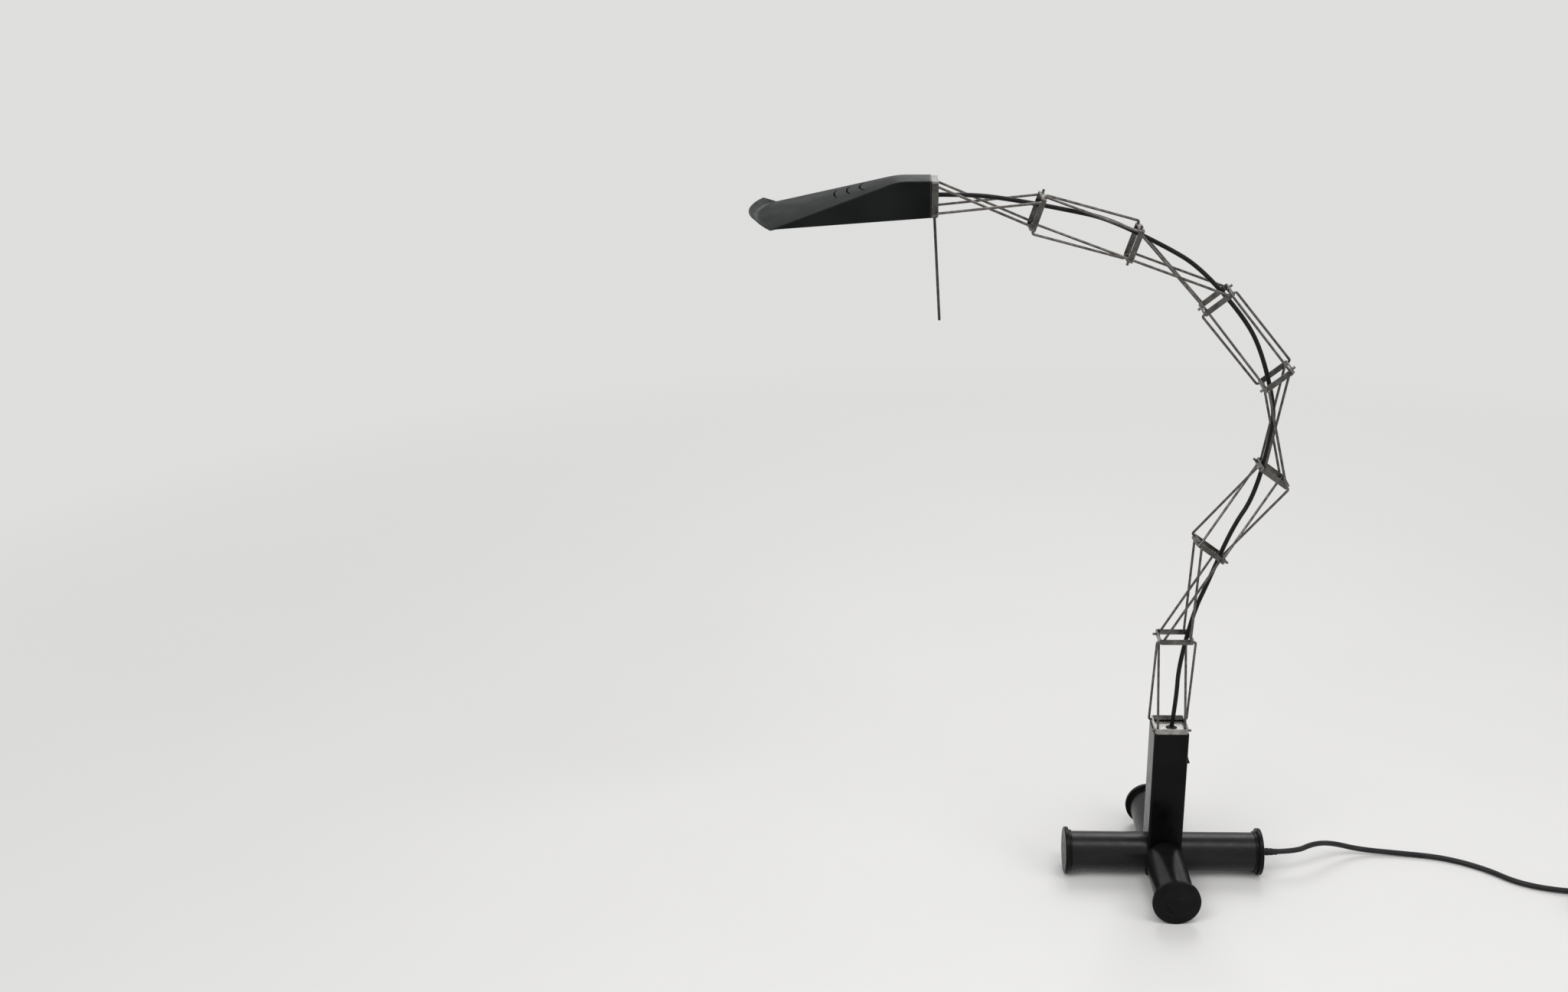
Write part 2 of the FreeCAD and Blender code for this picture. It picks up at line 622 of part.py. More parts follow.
def shade():
    """Folded sheet: a short box at the rear, a fan-shaped top and two splayed sides."""
    down = Z * (-SHEET)
    lines = top_lines()
    arcs = [Part.Arc(*line).toShape() for line in lines[1:]]
    arcs.insert(0, Part.LineSegment(lines[0][0], lines[0][2]).toShape())
    parts = [Part.makeRuledSurface(a, b).extrude(down) for a, b in zip(arcs, arcs[1:])]
    for edge, side in ((0, -1), (2, 1)):
        foot = Vector(0, side * SHADE_BOX_WIDTH / 2, 0)
        inward = Y * (-side * SHEET)
        parts += [sheet_panel([foot, a[edge], b[edge]], inward) for a, b in zip(lines, lines[1:])]
    parts.append(shade_brim())
    body = parts[0].multiFuse(parts[1:])
    body = body.cut(shade_slots())
    return moved(body, HEAD_PLACE)


def bulkhead():
    """The plate between the head's collar and the shade, with the cable's hole."""
    plate = block((-BULKHEAD, 0), (-SHADE_BOX_WIDTH / 2, SHADE_BOX_WIDTH / 2), (0, SHADE_BOX_HEIGHT))
    hole_start = Vector(-2 * BULKHEAD, 0, HEAD_CABLE_HEIGHT)
    hole = Part.makeCylinder(CABLE_DIAMETER / 2, 3 * BULKHEAD, hole_start, X)
    return moved(plate.cut(hole), HEAD_PLACE)


def lampholder():
    """A ceramic holder on a stem and flange."""
    flange, flange_thick = HOLDER_FLANGE
    body, start, end = HOLDER_BODY
    seat, depth = BULB_SEAT
    profile = [(0, 0), (0, flange / 2), (flange_thick, flange / 2), (flange_thick, HOLDER_STEM / 2),
               (start, HOLDER_STEM / 2), (start, body / 2 - 1), (start + 1, body / 2),
               (end - 2, body / 2), (end, body / 2 - 2), (end, seat / 2), (end - depth, seat / 2),
               (end - depth, 0)]
    solid = turned(profile, Vector(0, 0, HOLDER_HEIGHT), X)
    return moved(solid, HEAD_PLACE)


def bulb():
    """A halogen capsule with a rounded end."""
    end = HOLDER_BODY[2]
    seat, depth = BULB_SEAT
    radius = BULB_DIAMETER / 2
    tip = end + BULB_LENGTH
    shoulder = end + 4
    line = [Vector(seat / 2, 0, end - depth), Vector(seat / 2, 0, end), Vector(radius, 0, shoulder),
            Vector(radius, 0, tip - radius)]
    edges = [Part.LineSegment(a, b) for a, b in zip([Vector(0, 0, end - depth)] + line, line)]
    dome = Vector(radius * math.sin(math.pi / 4), 0, tip - radius * (1 - math.cos(math.pi / 4)))
    edges.append(Part.Arc(line[-1], dome, Vector(0, 0, tip)))
    edges.append(Part.LineSegment(Vector(0, 0, tip), Vector(0, 0, end - depth)))
    solid = Part.Face(Part.Wire([edge.toShape() for edge in edges])).revolve(Vector(), Z, 360)
    solid.Placement = Placement(Vector(0, 0, HOLDER_HEIGHT), Rotation(Z, X))
    return moved(solid, HEAD_PLACE)


def head_lead():
    """The cable's end, from the last frame to the lampholder."""
    start = Vector(-HEAD_START, 0, HEAD_CABLE_HEIGHT)
    points = [start, Vector(6, 0, HEAD_CABLE_HEIGHT), Vector(HOLDER_BODY[1] - 6, 0, HOLDER_HEIGHT + 5.8),
              Vector(HOLDER_BODY[1], 0, HOLDER_HEIGHT + 5.8)]
    return moved(tube(bent_path(points, 12), CABLE_DIAMETER), HEAD_PLACE)


def handle():
    """The thin steering handle under the head's collar, on its boss."""
    boss, boss_height = HANDLE_BOSS
    collar_middle = (HEAD_COLLAR[1] - HEAD_COLLAR[0]) / 2
    foot = Vector(-PLATE_OUT, 0, collar_middle)
    down = Vector(-math.cos(math.radians(HANDLE_LEAN)), 0, -math.sin(math.radians(HANDLE_LEAN)))
    seat = Part.makeCylinder(boss / 2, boss_height, foot, Vector(-1, 0, 0))
    bar = turned([(0, 0), (0, HANDLE_DIAMETER / 2), (HANDLE_LENGTH - 1, HANDLE_DIAMETER / 2),
                  (HANDLE_LENGTH, HANDLE_DIAMETER / 2 - 0.7), (HANDLE_LENGTH, 0)], foot - X * 1, down)
    return moved(seat.fuse(bar).removeSplitter(), FRAMES[LAST])


# ---- mains cord -------------------------------------------------------------
CORD_RADIUS = CORD_DIAMETER / 2
CORD_START = BASE_REACH + RELIEF_LENGTH


def strain_relief():
    """A short moulded sleeve at the cap's centre, with grooves between its ribs."""
    seat, seat_thick = RELIEF_SEAT
    ribs = 3
    pitch = (RELIEF_LENGTH - seat_thick - 4) / ribs
    profile = [(0, 0), (0, seat / 2), (seat_thick, seat / 2)]
    for rib in range(ribs):
        start = seat_thick + rib * pitch
        taper = (start - seat_thick) / (RELIEF_LENGTH - seat_thick)
        radius = (RELIEF_DIAMETER + (RELIEF_NECK - RELIEF_DIAMETER) * taper) / 2
        profile += [(start + 0.01, radius), (start + pitch * 0.6, radius),
                    (start + pitch * 0.6 + 0.01, radius - 0.5), (start + pitch - 0.01, radius - 0.5)]
    profile += [(seat_thick + ribs * pitch, RELIEF_NECK / 2), (RELIEF_LENGTH, RELIEF_NECK / 2),
                (RELIEF_LENGTH, 0)]
    return turned(profile, Vector(BASE_REACH, 0, AXIS_HEIGHT), X)


def coil_point(turn):
    """Middle of the wound cord after some turns: in on the floor, out on top of it."""
    reverse, last = COIL_TURNS + 0.5, 2 * COIL_TURNS + 0.5
    low = COIL_LIFT + CORD_RADIUS
    high = low + COIL_PITCH
    inner = COIL_OUTER - COIL_TURNS * COIL_PITCH
    if turn < COIL_TURNS:
        radius, height = COIL_OUTER - turn * COIL_PITCH, low
    elif turn < reverse:
        share = (turn - COIL_TURNS) * 2
        radius = inner - COIL_PITCH / 2 * share * (1 - share)
        height = low + (high - low) * smooth(share)
    elif turn < last:
        radius, height = inner + (turn - reverse) * COIL_PITCH, high
    else:
        away = smooth(min((turn - last) * 4, 1))
        radius = COIL_OUTER + (turn - last) * COIL_PITCH + COIL_EXIT * away
        height = high + (PLUG_BODY[2] / 2 - high) * away
    angle = math.radians(COIL_START) - 2 * math.pi * turn
    middle_x, middle_y = COIL_CENTRE
    return Vector(middle_x + radius * math.cos(angle), middle_y + radius * math.sin(angle), height)


def smooth(share):
    """A rise from 0 to 1 with level ends."""
    return share * share * (3 - 2 * share)


def coil_heading(turn):
    step = 1e-4
    return (coil_point(turn + step) - coil_point(turn - step)).normalize()


def biarc(start, out, end, into):
    """Two arcs from one point and heading to another."""
    chord, both = end - start, out + into
    square = 2 * (1 - out.dot(into))
    linear = 2 * chord.dot(both)
    reach = chord.dot(chord) / linear
    if square > 1e-9:
        reach = (-linear + math.sqrt(linear ** 2 + 4 * square * chord.dot(chord))) / (2 * square)
    first, second = start + out * reach, end - into * reach
    joint = (first + second) / 2
    return [tangent_arc(start, first, joint), tangent_arc(joint, second, end)]


COIL_END = 2 * COIL_TURNS + 0.5 + 0.25


def coil():
    """The put-away length, one unbroken tube with a straight start and end."""
    steps = int(round(COIL_END * 4))
    turns = [COIL_END * i / steps for i in range(steps + 1)]
    points = [coil_point(turn) for turn in turns]
    headings = [coil_heading(turn) for turn in turns]
    headings[0] = Vector(headings[0].x, headings[0].y, 0).normalize()
    headings[-1] = Vector(headings[-1].x, headings[-1].y, 0).normalize()
    edges = [Part.LineSegment(points[0] - headings[0] * CORD_DIAMETER, points[0]).toShape()]
    for i in range(steps):
        edges += biarc(points[i], headings[i], points[i + 1], headings[i + 1])
    edges.append(Part.LineSegment(points[-1], points[-1] + headings[-1] * CORD_DIAMETER).toShape())
    solid = tube(edges, CORD_DIAMETER)
    length = sum(edge.Length for edge in edges)
    print("coil length", round(length, 1), "least gap", round(coil_gap(), 2), "volume ratio",
          round(solid.Volume / (math.pi * CORD_RADIUS ** 2 * length), 4))
    return solid


def coil_gap():
    """Least gap between the wound tube's turns, on sampled points."""
    count = 400
    turns = [COIL_END * i / count for i in range(count + 1)]
    points = [coil_point(turn) for turn in turns]
    least = COIL_OUTER
    for i in range(count):
        for j in range(i + 1, count + 1):
            if turns[j] - turns[i] > 0.4:
                least = min(least, (points[i] - points[j]).Length)
    return least - CORD_DIAMETER


def cord_route():
    """The cord from its strain relief over the table to the coil, points chosen by hand."""
    end = coil_point(0) - coil_heading(0) * CORD_DIAMETER
    return [Vector(CORD_START, 0, AXIS_HEIGHT), Vector(157, 0, AXIS_HEIGHT), Vector(181, 15, 30),
            Vector(208, 33, 21), Vector(244, 43, 6.5), Vector(292, 40, 3.5), Vector(342, 31, 3.4),
            Vector(384, 6, 3.4), Vector(412, -26, 3.5), end - coil_heading(0) * COIL_ENTRY, end]


def tie():
    """A flat band round the coil's turns."""
    low, high = 0.1, COIL_LIFT + CORD_DIAMETER + COIL_PITCH + 0.7
    inner = COIL_OUTER - COIL_TURNS * COIL_PITCH - CORD_RADIUS - TIE_ROOM
    outer = COIL_OUTER + CORD_RADIUS + TIE_ROOM
    body = block((-outer, -inner), (-TIE_WIDTH / 2, TIE_WIDTH / 2), (low, high))
    hollow = block((-outer + TIE_THICK, -inner - TIE_THICK), (-TIE_WIDTH, TIE_WIDTH),
                   (low + TIE_THICK, high - TIE_THICK))
    corners = [edge for edge in body.Edges if abs(edge.tangentAt(0).y) > 0.9]
    band = body.makeFillet(1.5, corners).cut(hollow)
    return moved(band, Placement(Vector(COIL_CENTRE[0], COIL_CENTRE[1], 0), Rotation()))


def plug_place():
    heading = coil_heading(COIL_END)
    end = coil_point(COIL_END)
    heading = Vector(heading.x, heading.y, 0).normalize()
    return Placement(end + heading * CORD_DIAMETER, Rotation(X, heading))


def plug():
    """A flat two-pin plug body, narrowed at both ends."""
    length, width, thick = PLUG_BODY
    half, nose = width / 2, PLUG_NOSE / 2
    outline = [(0, -5.5), (0, 5.5), (length * 0.42, half), (length * 0.62, half), (length, nose + 3),
               (length, -nose - 3), (length * 0.62, -half), (length * 0.42, -half)]
    points = [Vector(x, y, -thick / 2) for x, y in outline]
    body = Part.Face(Part.makePolygon(points + points[:1])).extrude(Z * thick)
    body = body.makeFillet(2.0, body.Edges)
    holes = [pin_shape(side) for side in (-1, 1)]
    return moved(body.cut(holes), plug_place())


def pin_shape(side):
    face, end = PLUG_BODY[0], PLUG_BODY[0] + PIN_LENGTH
    root, shank = PIN_ROOT
    radius = PIN_DIAMETER / 2
    profile = [(face - shank, 0), (face - shank, root / 2), (face - 0.1, root / 2), (face - 0.1, radius),
               (end - 1, radius), (end, radius - 1), (end, 0)]
    return turned(profile, Y * (side * PIN_SPACING / 2), X)


def plug_pins():
    return Part.Compound([moved(pin_shape(side), plug_place()) for side in (-1, 1)])


# ---- the whole lamp ---------------------------------------------------------
def nodes():
    legs = dict(zip(("leg_right", "leg_rear", "leg_left", "leg_front"), leg_places()))
    made = {name: moved(leg(), place) for name, place in legs.items()}
    plain_caps = [moved(cap(False), place) for place in leg_places()[1:]]
    made.update({
        "leg_caps": Part.Compound(plain_caps),
        "cord_cap": moved(cap(True), leg_places()[0]),
        "ballast_bars": Part.Compound([moved(ballast_bar(), place) for place in leg_places()]),
        "post": post(), "bottom_cover": bottom_cover(), "top_plate": top_plate(), "grommet": grommet(),
        "switch_body": switch_body(), "switch_rocker": rocker(), "terminal_block": terminal_block(),
        "post_wiring": post_wiring(),
        "head_bulkhead": bulkhead(), "shade": shade(), "lampholder": lampholder(), "bulb": bulb(),
        "head_lead": head_lead(), "head_handle": handle(),
        "strain_relief": strain_relief(),
        "mains_cord": cord_tube(cord_route(), CORD_DIAMETER, "mains_cord"),
        "cord_coil": coil(), "coil_tie": tie(), "plug": plug(), "plug_pins": plug_pins(),
    })
    for index in range(LAST + 1):
        made["frame_%d" % index] = frame(index)
    for cell in range(1, LAST + 1):
        made["outer_rods_%d" % cell] = rod_pair(cell, False)
        made["inner_rods_%d" % cell] = rod_pair(cell, True)
        made["arm_cable_%d" % cell] = arm_cable(cell)
    return made


os.makedirs("parts", exist_ok=True)
for node, shape in nodes().items():
    if not shape.isValid() or shape.Volume <= 0:
        print("NOT VALID", node)
    shape.exportStep("parts/%s.step" % node)
    print(node, round(shape.Volume, 1))
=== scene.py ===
"""The accordion desk lamp's looks, in metres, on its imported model.

Most of the model's solids stay, with new materials.  The cord and its coil, the arm's cable,
the hidden leads, the bulb, the coil's tie, the plug and the shade are replaced by pieces
that are built here.
"""
import math

import bpy
from mathutils import Matrix, Vector

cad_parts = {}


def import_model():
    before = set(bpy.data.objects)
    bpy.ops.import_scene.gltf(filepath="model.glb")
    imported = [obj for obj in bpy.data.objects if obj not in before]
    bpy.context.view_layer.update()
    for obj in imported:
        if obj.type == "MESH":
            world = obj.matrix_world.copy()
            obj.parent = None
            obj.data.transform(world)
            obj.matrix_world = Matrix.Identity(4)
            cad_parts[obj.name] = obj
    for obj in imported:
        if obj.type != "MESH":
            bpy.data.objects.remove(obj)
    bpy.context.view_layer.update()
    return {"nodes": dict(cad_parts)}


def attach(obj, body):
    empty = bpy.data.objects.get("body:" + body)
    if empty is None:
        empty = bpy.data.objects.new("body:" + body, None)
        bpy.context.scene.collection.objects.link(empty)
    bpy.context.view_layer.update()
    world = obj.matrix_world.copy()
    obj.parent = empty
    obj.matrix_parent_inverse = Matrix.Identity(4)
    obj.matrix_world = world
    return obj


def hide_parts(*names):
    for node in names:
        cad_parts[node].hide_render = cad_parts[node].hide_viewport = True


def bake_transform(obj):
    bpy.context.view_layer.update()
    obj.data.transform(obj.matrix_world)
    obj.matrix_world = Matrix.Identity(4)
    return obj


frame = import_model()
nodes = frame["nodes"]

X, Y, Z = Vector((1, 0, 0)), Vector((0, 1, 0)), Vector((0, 0, 1))

# ---- sizes that the part's source also holds ------------------------------------
AXIS_HEIGHT = 0.0272
POST_SIDE = 0.040
POST_WALL = 0.002
POST_TOP = 0.190
BASE_REACH = 0.1157
FIRST_FRAME = 0.1924
ROD_LENGTH = 0.1114
PIVOT_SPACING = 0.0286
PIVOT_RAISE = 0.0011
# Lean of each frame on the one below, in degrees.
LEANS = (4.8, 35.7, -5.1, -74.9, -1.7, -32.6, -2.0, -18.1)
CABLE_DIAMETER = 0.005
# Where the cable passes each frame, from its middle along the frame's own x and y.
CABLE_OFFSETS = ((.0023, 0), (.0138, 0), (.0136, -.004), (-.0128, .002), (-.0096, 0),
                 (.0095, .008), (.0098, .009), (.0065, .007), (.0015, 0))
CABLE_PULL = 0.32                  # its inner control points' way off, as a share of the stretch
CABLE_START = 0.001                # above the post's top
TERMINAL_FOOT = 0.105
TERMINAL_BLOCK = (0.020, 0.010, 0.020)
WIRING_TOP = 0.018                 # the cable's first bend, below the post's top
WIRING_RUNS = (0.021, 0.025)       # straight runs above and below the terminal block
LEAD_TURN = (0.006, 0.0248)        # the lead's bend behind the post's axis and above the legs'
HOLDER_RUN = 0.006                 # the cable's straight runs in the head
HOLDER_RISE = 0.0058               # where it enters the holder, above the holder's middle
SHADE_BOX_WIDTH = 0.0393
SHADE_BOX_HEIGHT = 0.0389
SHADE_FOLD = 0.034
SHADE_FOLD_WIDTH = 0.040
SHADE_FOLD_RISE = 0.002
SHADE_BEND = 0.011
SHADE_WIDTH = 0.144
SHADE_REACH = 0.1855
SHADE_FRONT_RADIUS = 0.150
SHEET = 0.001
BRIM_OUT = 0.0072
BRIM_RISE = 0.0068
BRIM_SPAN = 45.0                   # degrees of the brim's rim, about the front's centre
SLOT_PLACES = (0.075, 0.0885, 0.102)
SLOT_WIDTH = 0.0022
SLOT_SPAN = 0.040
HEAD_START = 0.0055                # from the last frame's middle plane to the shade's rear edge
HOLDER_HEIGHT = 0.012
HOLDER_BODY = (0.018, 0.020, 0.044)      # diameter, start, end
BULB_DIAMETER = 0.013
BULB_LENGTH = 0.047
BULB_SEAT = (0.009, 0.006)         # diameter, depth in the holder
CORD_DIAMETER = 0.0063
COIL_OUTER = 0.044                 # from the coil's middle to the cord's, at the entry
COIL_PITCH = 0.0069                # from turn to turn and from layer to layer
COIL_TURNS = 2.75                  # in each of the two layers
COIL_LIFT = 0.0008
COIL_CENTRE = (0.508, -0.088)
COIL_EXIT = 0.022                  # how far the last quarter turn swings out to the plug
COIL_ENTRY = 0.046                 # straight way into the coil
PLUG_BODY = (0.035, 0.033, 0.014)  # long, wide, thick
PLUG_NOSE = 0.020
TIE_WIDTH = 0.008

# ---- the photograph's camera -----------------------------------------------------
EYE = Vector((-0.3582, -1.9341, 1.1630))
YAW, PITCH, ROLL = -0.044, 0.342, -0.013
LENS, SENSOR = 42.25, 36.0


# ---- materials -------------------------------------------------------------------
EDGE_TURN = (0.80, 0.985)          # cosines between rounded and true normal: full painted highlight and wear, and none
# Patches along the lighter edges, of painted highlight and rub wear alike: their cells per metre
# and least strength.
WEAR_AND_HIGHLIGHT_SCALE, WEAR_AND_HIGHLIGHT_LEAST = 260.0, 0.35
MIX_FIRST, MIX_SECOND, MIX_RESULT = 6, 7, 2        # the colour sockets of a Mix node


class Look:
    """A node material whose tone, gloss and surface wander over the piece."""

    def __init__(self, name, metallic=0.0, **sockets):
        self.material = bpy.data.materials.new(name)
        self.material.use_nodes = True
        self.tree = self.material.node_tree
        self.shader = self.tree.nodes["Principled BSDF"]
        self.shader.inputs["Metallic"].default_value = metallic
        for socket, value in sockets.items():
            self.shader.inputs[socket.replace("_", " ")].default_value = value
        self.place = self.tree.nodes.new("ShaderNodeTexCoord").outputs["Object"]
        self.surface = None

    def node(self, kind, **settings):
        made = self.tree.nodes.new("ShaderNode" + kind)
        for key, value in settings.items():
            setattr(made, key, value)
        return made

    def link(self, source, target):
        self.tree.links.new(source, target)

    def noise(self, scale, detail=4.0, stretch=(1, 1, 1)):
        """Noise over the piece, with its cell size set by scale, in cells per metre."""
        mapping = self.node("Mapping")
        mapping.inputs["Scale"].default_value = stretch
        self.link(self.place, mapping.inputs["Vector"])
        made = self.node("TexNoise")
        made.inputs["Scale"].default_value = scale
        made.inputs["Detail"].default_value = detail
        self.link(mapping.outputs["Vector"], made.inputs["Vector"])
        return made.outputs["Fac"]

    def ramp(self, source, low, high, start=0.35, end=0.65):
        """A colour between low and high, as source goes from start to end."""
        made = self.node("ValToRGB")
        first, last = made.color_ramp.elements
        first.position, last.position = start, end
        first.color, last.color = (*low, 1), (*high, 1)
        self.link(source, made.inputs["Fac"])
        return made.outputs["Color"]

    def spread(self, source, low, high, start=0.3, end=0.7):
        """A number between low and high, as source goes from start to end."""
        made = self.node("MapRange")
        for socket, value in (("From Min", start), ("From Max", end),
                              ("To Min", low), ("To Max", high)):
            made.inputs[socket].default_value = value
        self.link(source, made.inputs["Value"])
        return made.outputs["Result"]

    def colour(self, low, high, scale, **more):
        """A base colour that wanders between low and high."""
        self.tone = self.ramp(self.noise(scale, **more), low, high)
        self.link(self.tone, self.shader.inputs["Base Color"])
        return self

    def gloss(self, low, high, scale, **more):
        """A roughness that wanders between low and high."""
        result = self.spread(self.noise(scale, **more), low, high)
        self.link(result, self.shader.inputs["Roughness"])
        return self

    def bump(self, height, scale, **more):
        """A bump of noise, over what is there already."""
        self.raise_by(self.noise(scale, **more), height)
        return self

    def raise_by(self, source, height):
        """A bump of that height in metres, from any source."""
        made = self.node("Bump")
        made.inputs["Distance"].default_value = height
        self.link(source, made.inputs["Height"])
        if self.surface is not None:
            self.link(self.surface, made.inputs["Normal"])
        self.surface = made.outputs["Normal"]
        self.link(self.surface, self.shader.inputs["Normal"])

    def worn_and_highlit_edges(self, colour, radius, strength):
        """A lighter tone along the piece's edges: painted highlight where they catch the light, and
        rub wear, in patches.
        """
        bevel = self.node("Bevel", samples=4)
        bevel.inputs["Radius"].default_value = radius
        plain = self.node("NewGeometry")
        turn = self.node("VectorMath", operation="DOT_PRODUCT")
        self.link(bevel.outputs["Normal"], turn.inputs[0])
        self.link(plain.outputs["True Normal"], turn.inputs[1])
        edge = self.spread(turn.outputs["Value"], strength, 0.0, *EDGE_TURN)
        patchy = self.spread(self.noise(WEAR_AND_HIGHLIGHT_SCALE), WEAR_AND_HIGHLIGHT_LEAST, 1.0)
        both = self.node("Math", operation="MULTIPLY")
        self.link(edge, both.inputs[0])
        self.link(patchy, both.inputs[1])
        mix = self.node("Mix", data_type="RGBA")
        self.link(both.outputs["Value"], mix.inputs["Factor"])
        self.link(self.tone, mix.inputs[MIX_FIRST])
        mix.inputs[MIX_SECOND].default_value = (*colour, 1)
        self.link(mix.outputs[MIX_RESULT], self.shader.inputs["Base Color"])
        return self


def make_looks():
    """Every material of the lamp by a short name."""
    looks = {}
    # Black paint of the post; its lighter edges are painted highlight on the corners, and rub wear.
    looks["post_paint"] = (
        Look("post_paint", Specular_IOR_Level=0.09)
        .colour((.0016, .0016, .0018), (.0036, .0036, .0040), 30.0)
        .gloss(.16, .26, 60.0).bump(.00002, 900.0, detail=2.0)
        .worn_and_highlit_edges((.06, .06, .06), .0008, .5))
    looks["leg_paint"] = (
        Look("leg_paint", Specular_IOR_Level=0.24)
        .colour((.0035, .0035, .0040), (.0070, .0070, .0078), 34.0)
        .gloss(.24, .34, 80.0).bump(.00003, 1200.0, detail=2.0))
    # Black moulded caps; their lighter edges are painted highlight on the rims, and rub wear.
    looks["cap_plastic"] = (
        Look("cap_plastic", Specular_IOR_Level=0.10)
        .colour((.0028, .0028, .0030), (.0060, .0060, .0063), 50.0)
        .gloss(.26, .36, 120.0).bump(.00001, 1600.0, detail=2.0)
        .worn_and_highlit_edges((.05, .05, .05), .0010, .4))
    # Nickel of the frames: its tone is far darker than bare nickel, a painted reflection of a dark
    # room; its lighter edges are painted highlight and rub wear.
    looks["nickel"] = (
        Look("nickel", metallic=1.0)
        .colour((.085, .080, .075), (.15, .145, .135), 130.0)
        .gloss(.22, .36, 420.0).bump(.00001, 2600.0, stretch=(1, 1, .25))
        .worn_and_highlit_edges((.55, .54, .52), .0005, .6))
    # The post's collar: a lighter copy of the frames' nickel, painted light where more light falls
    # on its front; its lighter edges are painted highlight and rub wear.
    looks["lit_collar_nickel"] = (
        Look("lit_collar_nickel", metallic=1.0)
        .colour((.24, .235, .225), (.36, .355, .34), 130.0)
        .gloss(.20, .32, 420.0).bump(.00001, 2600.0, stretch=(1, 1, .25))
        .worn_and_highlit_edges((.70, .69, .67), .0006, .8))
    # Nickel of the rods: its tone is far darker than bare nickel, a painted reflection of a dark
    # room; its lighter edges paint highlights on the rods' bent ends.
    looks["rod_nickel"] = (
        Look("rod_nickel", metallic=1.0)
        .colour((.070, .063, .058), (.15, .14, .13), 190.0)
        .gloss(.24, .40, 500.0).bump(.00002, 3000.0)
        .worn_and_highlit_edges((.60, .59, .57), .0004, .6))
    # The handle's chrome: its tone is far darker than bare chrome, a painted reflection of a dark
    # room.
    looks["handle_chrome"] = (
        Look("handle_chrome", metallic=1.0)
        .colour((.060, .052, .050), (.12, .11, .105), 150.0)
        .gloss(.12, .24, 400.0).bump(.00001, 3000.0))
    looks["plate_steel"] = (
        Look("plate_steel", metallic=1.0)
        .colour((.34, .335, .32), (.46, .455, .44), 180.0)
        .gloss(.22, .36, 500.0).bump(.00002, 2400.0, stretch=(.1, 1, 1)))
    # Black paint of the shade; its lighter edges are painted highlight along the folds and rims,
    # and rub wear.
    looks["shade_paint"] = (
        Look("shade_paint", Specular_IOR_Level=0.07)
        .colour((.0030, .0038, .0038), (.0060, .0072, .0072), 22.0)
        .gloss(.42, .54, 40.0).bump(.00004, 1500.0, detail=2.0)
        .worn_and_highlit_edges((.12, .13, .13), .0010, .75))
    looks["lining_white"] = (
        Look("lining_white")
        .colour((.66, .65, .62), (.76, .75, .72), 26.0)
        .gloss(.38, .52, 90.0).bump(.00003, 1300.0, detail=2.0))
    looks["black_plastic"] = (
        Look("black_plastic", Specular_IOR_Level=0.15)
        .colour((.006, .006, .006), (.012, .012, .012), 90.0)
        .gloss(.28, .40, 200.0).bump(.00003, 2200.0, detail=2.0))
    looks["rubber"] = (
        Look("rubber", Specular_IOR_Level=0.20)
        .colour((.008, .008, .008), (.016, .016, .016), 120.0)
        .gloss(.48, .62, 260.0).bump(.00005, 2600.0, detail=3.0))
    looks["cord_jacket"] = (
        Look("cord_jacket", Specular_IOR_Level=0.22)
        .colour((.007, .007, .008), (.014, .014, .015), 60.0)
        .gloss(.30, .42, 240.0).bump(.00004, 1400.0, detail=3.0))
    looks["cable_jacket"] = (
        Look("cable_jacket", Specular_IOR_Level=0.16)
        .colour((.004, .004, .004), (.009, .009, .009), 80.0)
        .gloss(.34, .46, 300.0).bump(.00003, 1800.0, detail=3.0))
    looks["ceramic"] = (
        Look("ceramic", Coat_Weight=0.3, Coat_Roughness=0.1)
        .colour((.70, .67, .60), (.80, .77, .70), 150.0)
        .gloss(.26, .40, 220.0).bump(.00004, 1800.0))
    looks["terminal_plastic"] = (
        Look("terminal_plastic", Subsurface_Weight=0.1)
        .colour((.62, .60, .54), (.72, .70, .64), 120.0)
        .gloss(.34, .48, 300.0).bump(.00004, 2000.0))
    looks["lead"] = (
        Look("lead", metallic=1.0)
        .colour((.16, .165, .17), (.28, .285, .29), 130.0)
        .gloss(.42, .62, 160.0).bump(.0001, 700.0))
    looks["pin_brass"] = (
        Look("pin_brass", metallic=1.0)
        .colour((.60, .53, .38), (.74, .66, .48), 300.0)
        .gloss(.20, .34, 700.0).bump(.00002, 2600.0))
    looks["glass"] = (
        Look("glass", Transmission_Weight=1.0, IOR=1.46, Base_Color=(.97, .97, .96, 1))
        .gloss(.015, .05, 240.0).bump(.00002, 500.0))
    looks["tungsten"] = (
        Look("tungsten", metallic=1.0)
        .colour((.24, .24, .25), (.38, .38, .39), 900.0).gloss(.25, .4, 1500.0))
    return looks


def woven_band():
    """A black woven band: two crossed sets of threads and a soft sheen."""
    look = Look("woven_band", Sheen_Weight=0.4, Sheen_Roughness=0.5)
    look.colour((.010, .010, .011), (.030, .030, .032), 700.0).gloss(.62, .82, 400.0)
    for axis in ("X", "Y"):
        threads = look.node("TexWave", bands_direction=axis)
        threads.inputs["Scale"].default_value = 420.0
        threads.inputs["Distortion"].default_value = 0.6
        look.link(look.place, threads.inputs["Vector"])
        look.raise_by(threads.outputs["Fac"], .00012)
    return look


looks = make_looks()
looks["woven_band"] = woven_band()


def dress(obj, look):
    """Gives a piece one material."""
    obj.data.materials.clear()
    obj.data.materials.append(looks[look].material)
    return obj


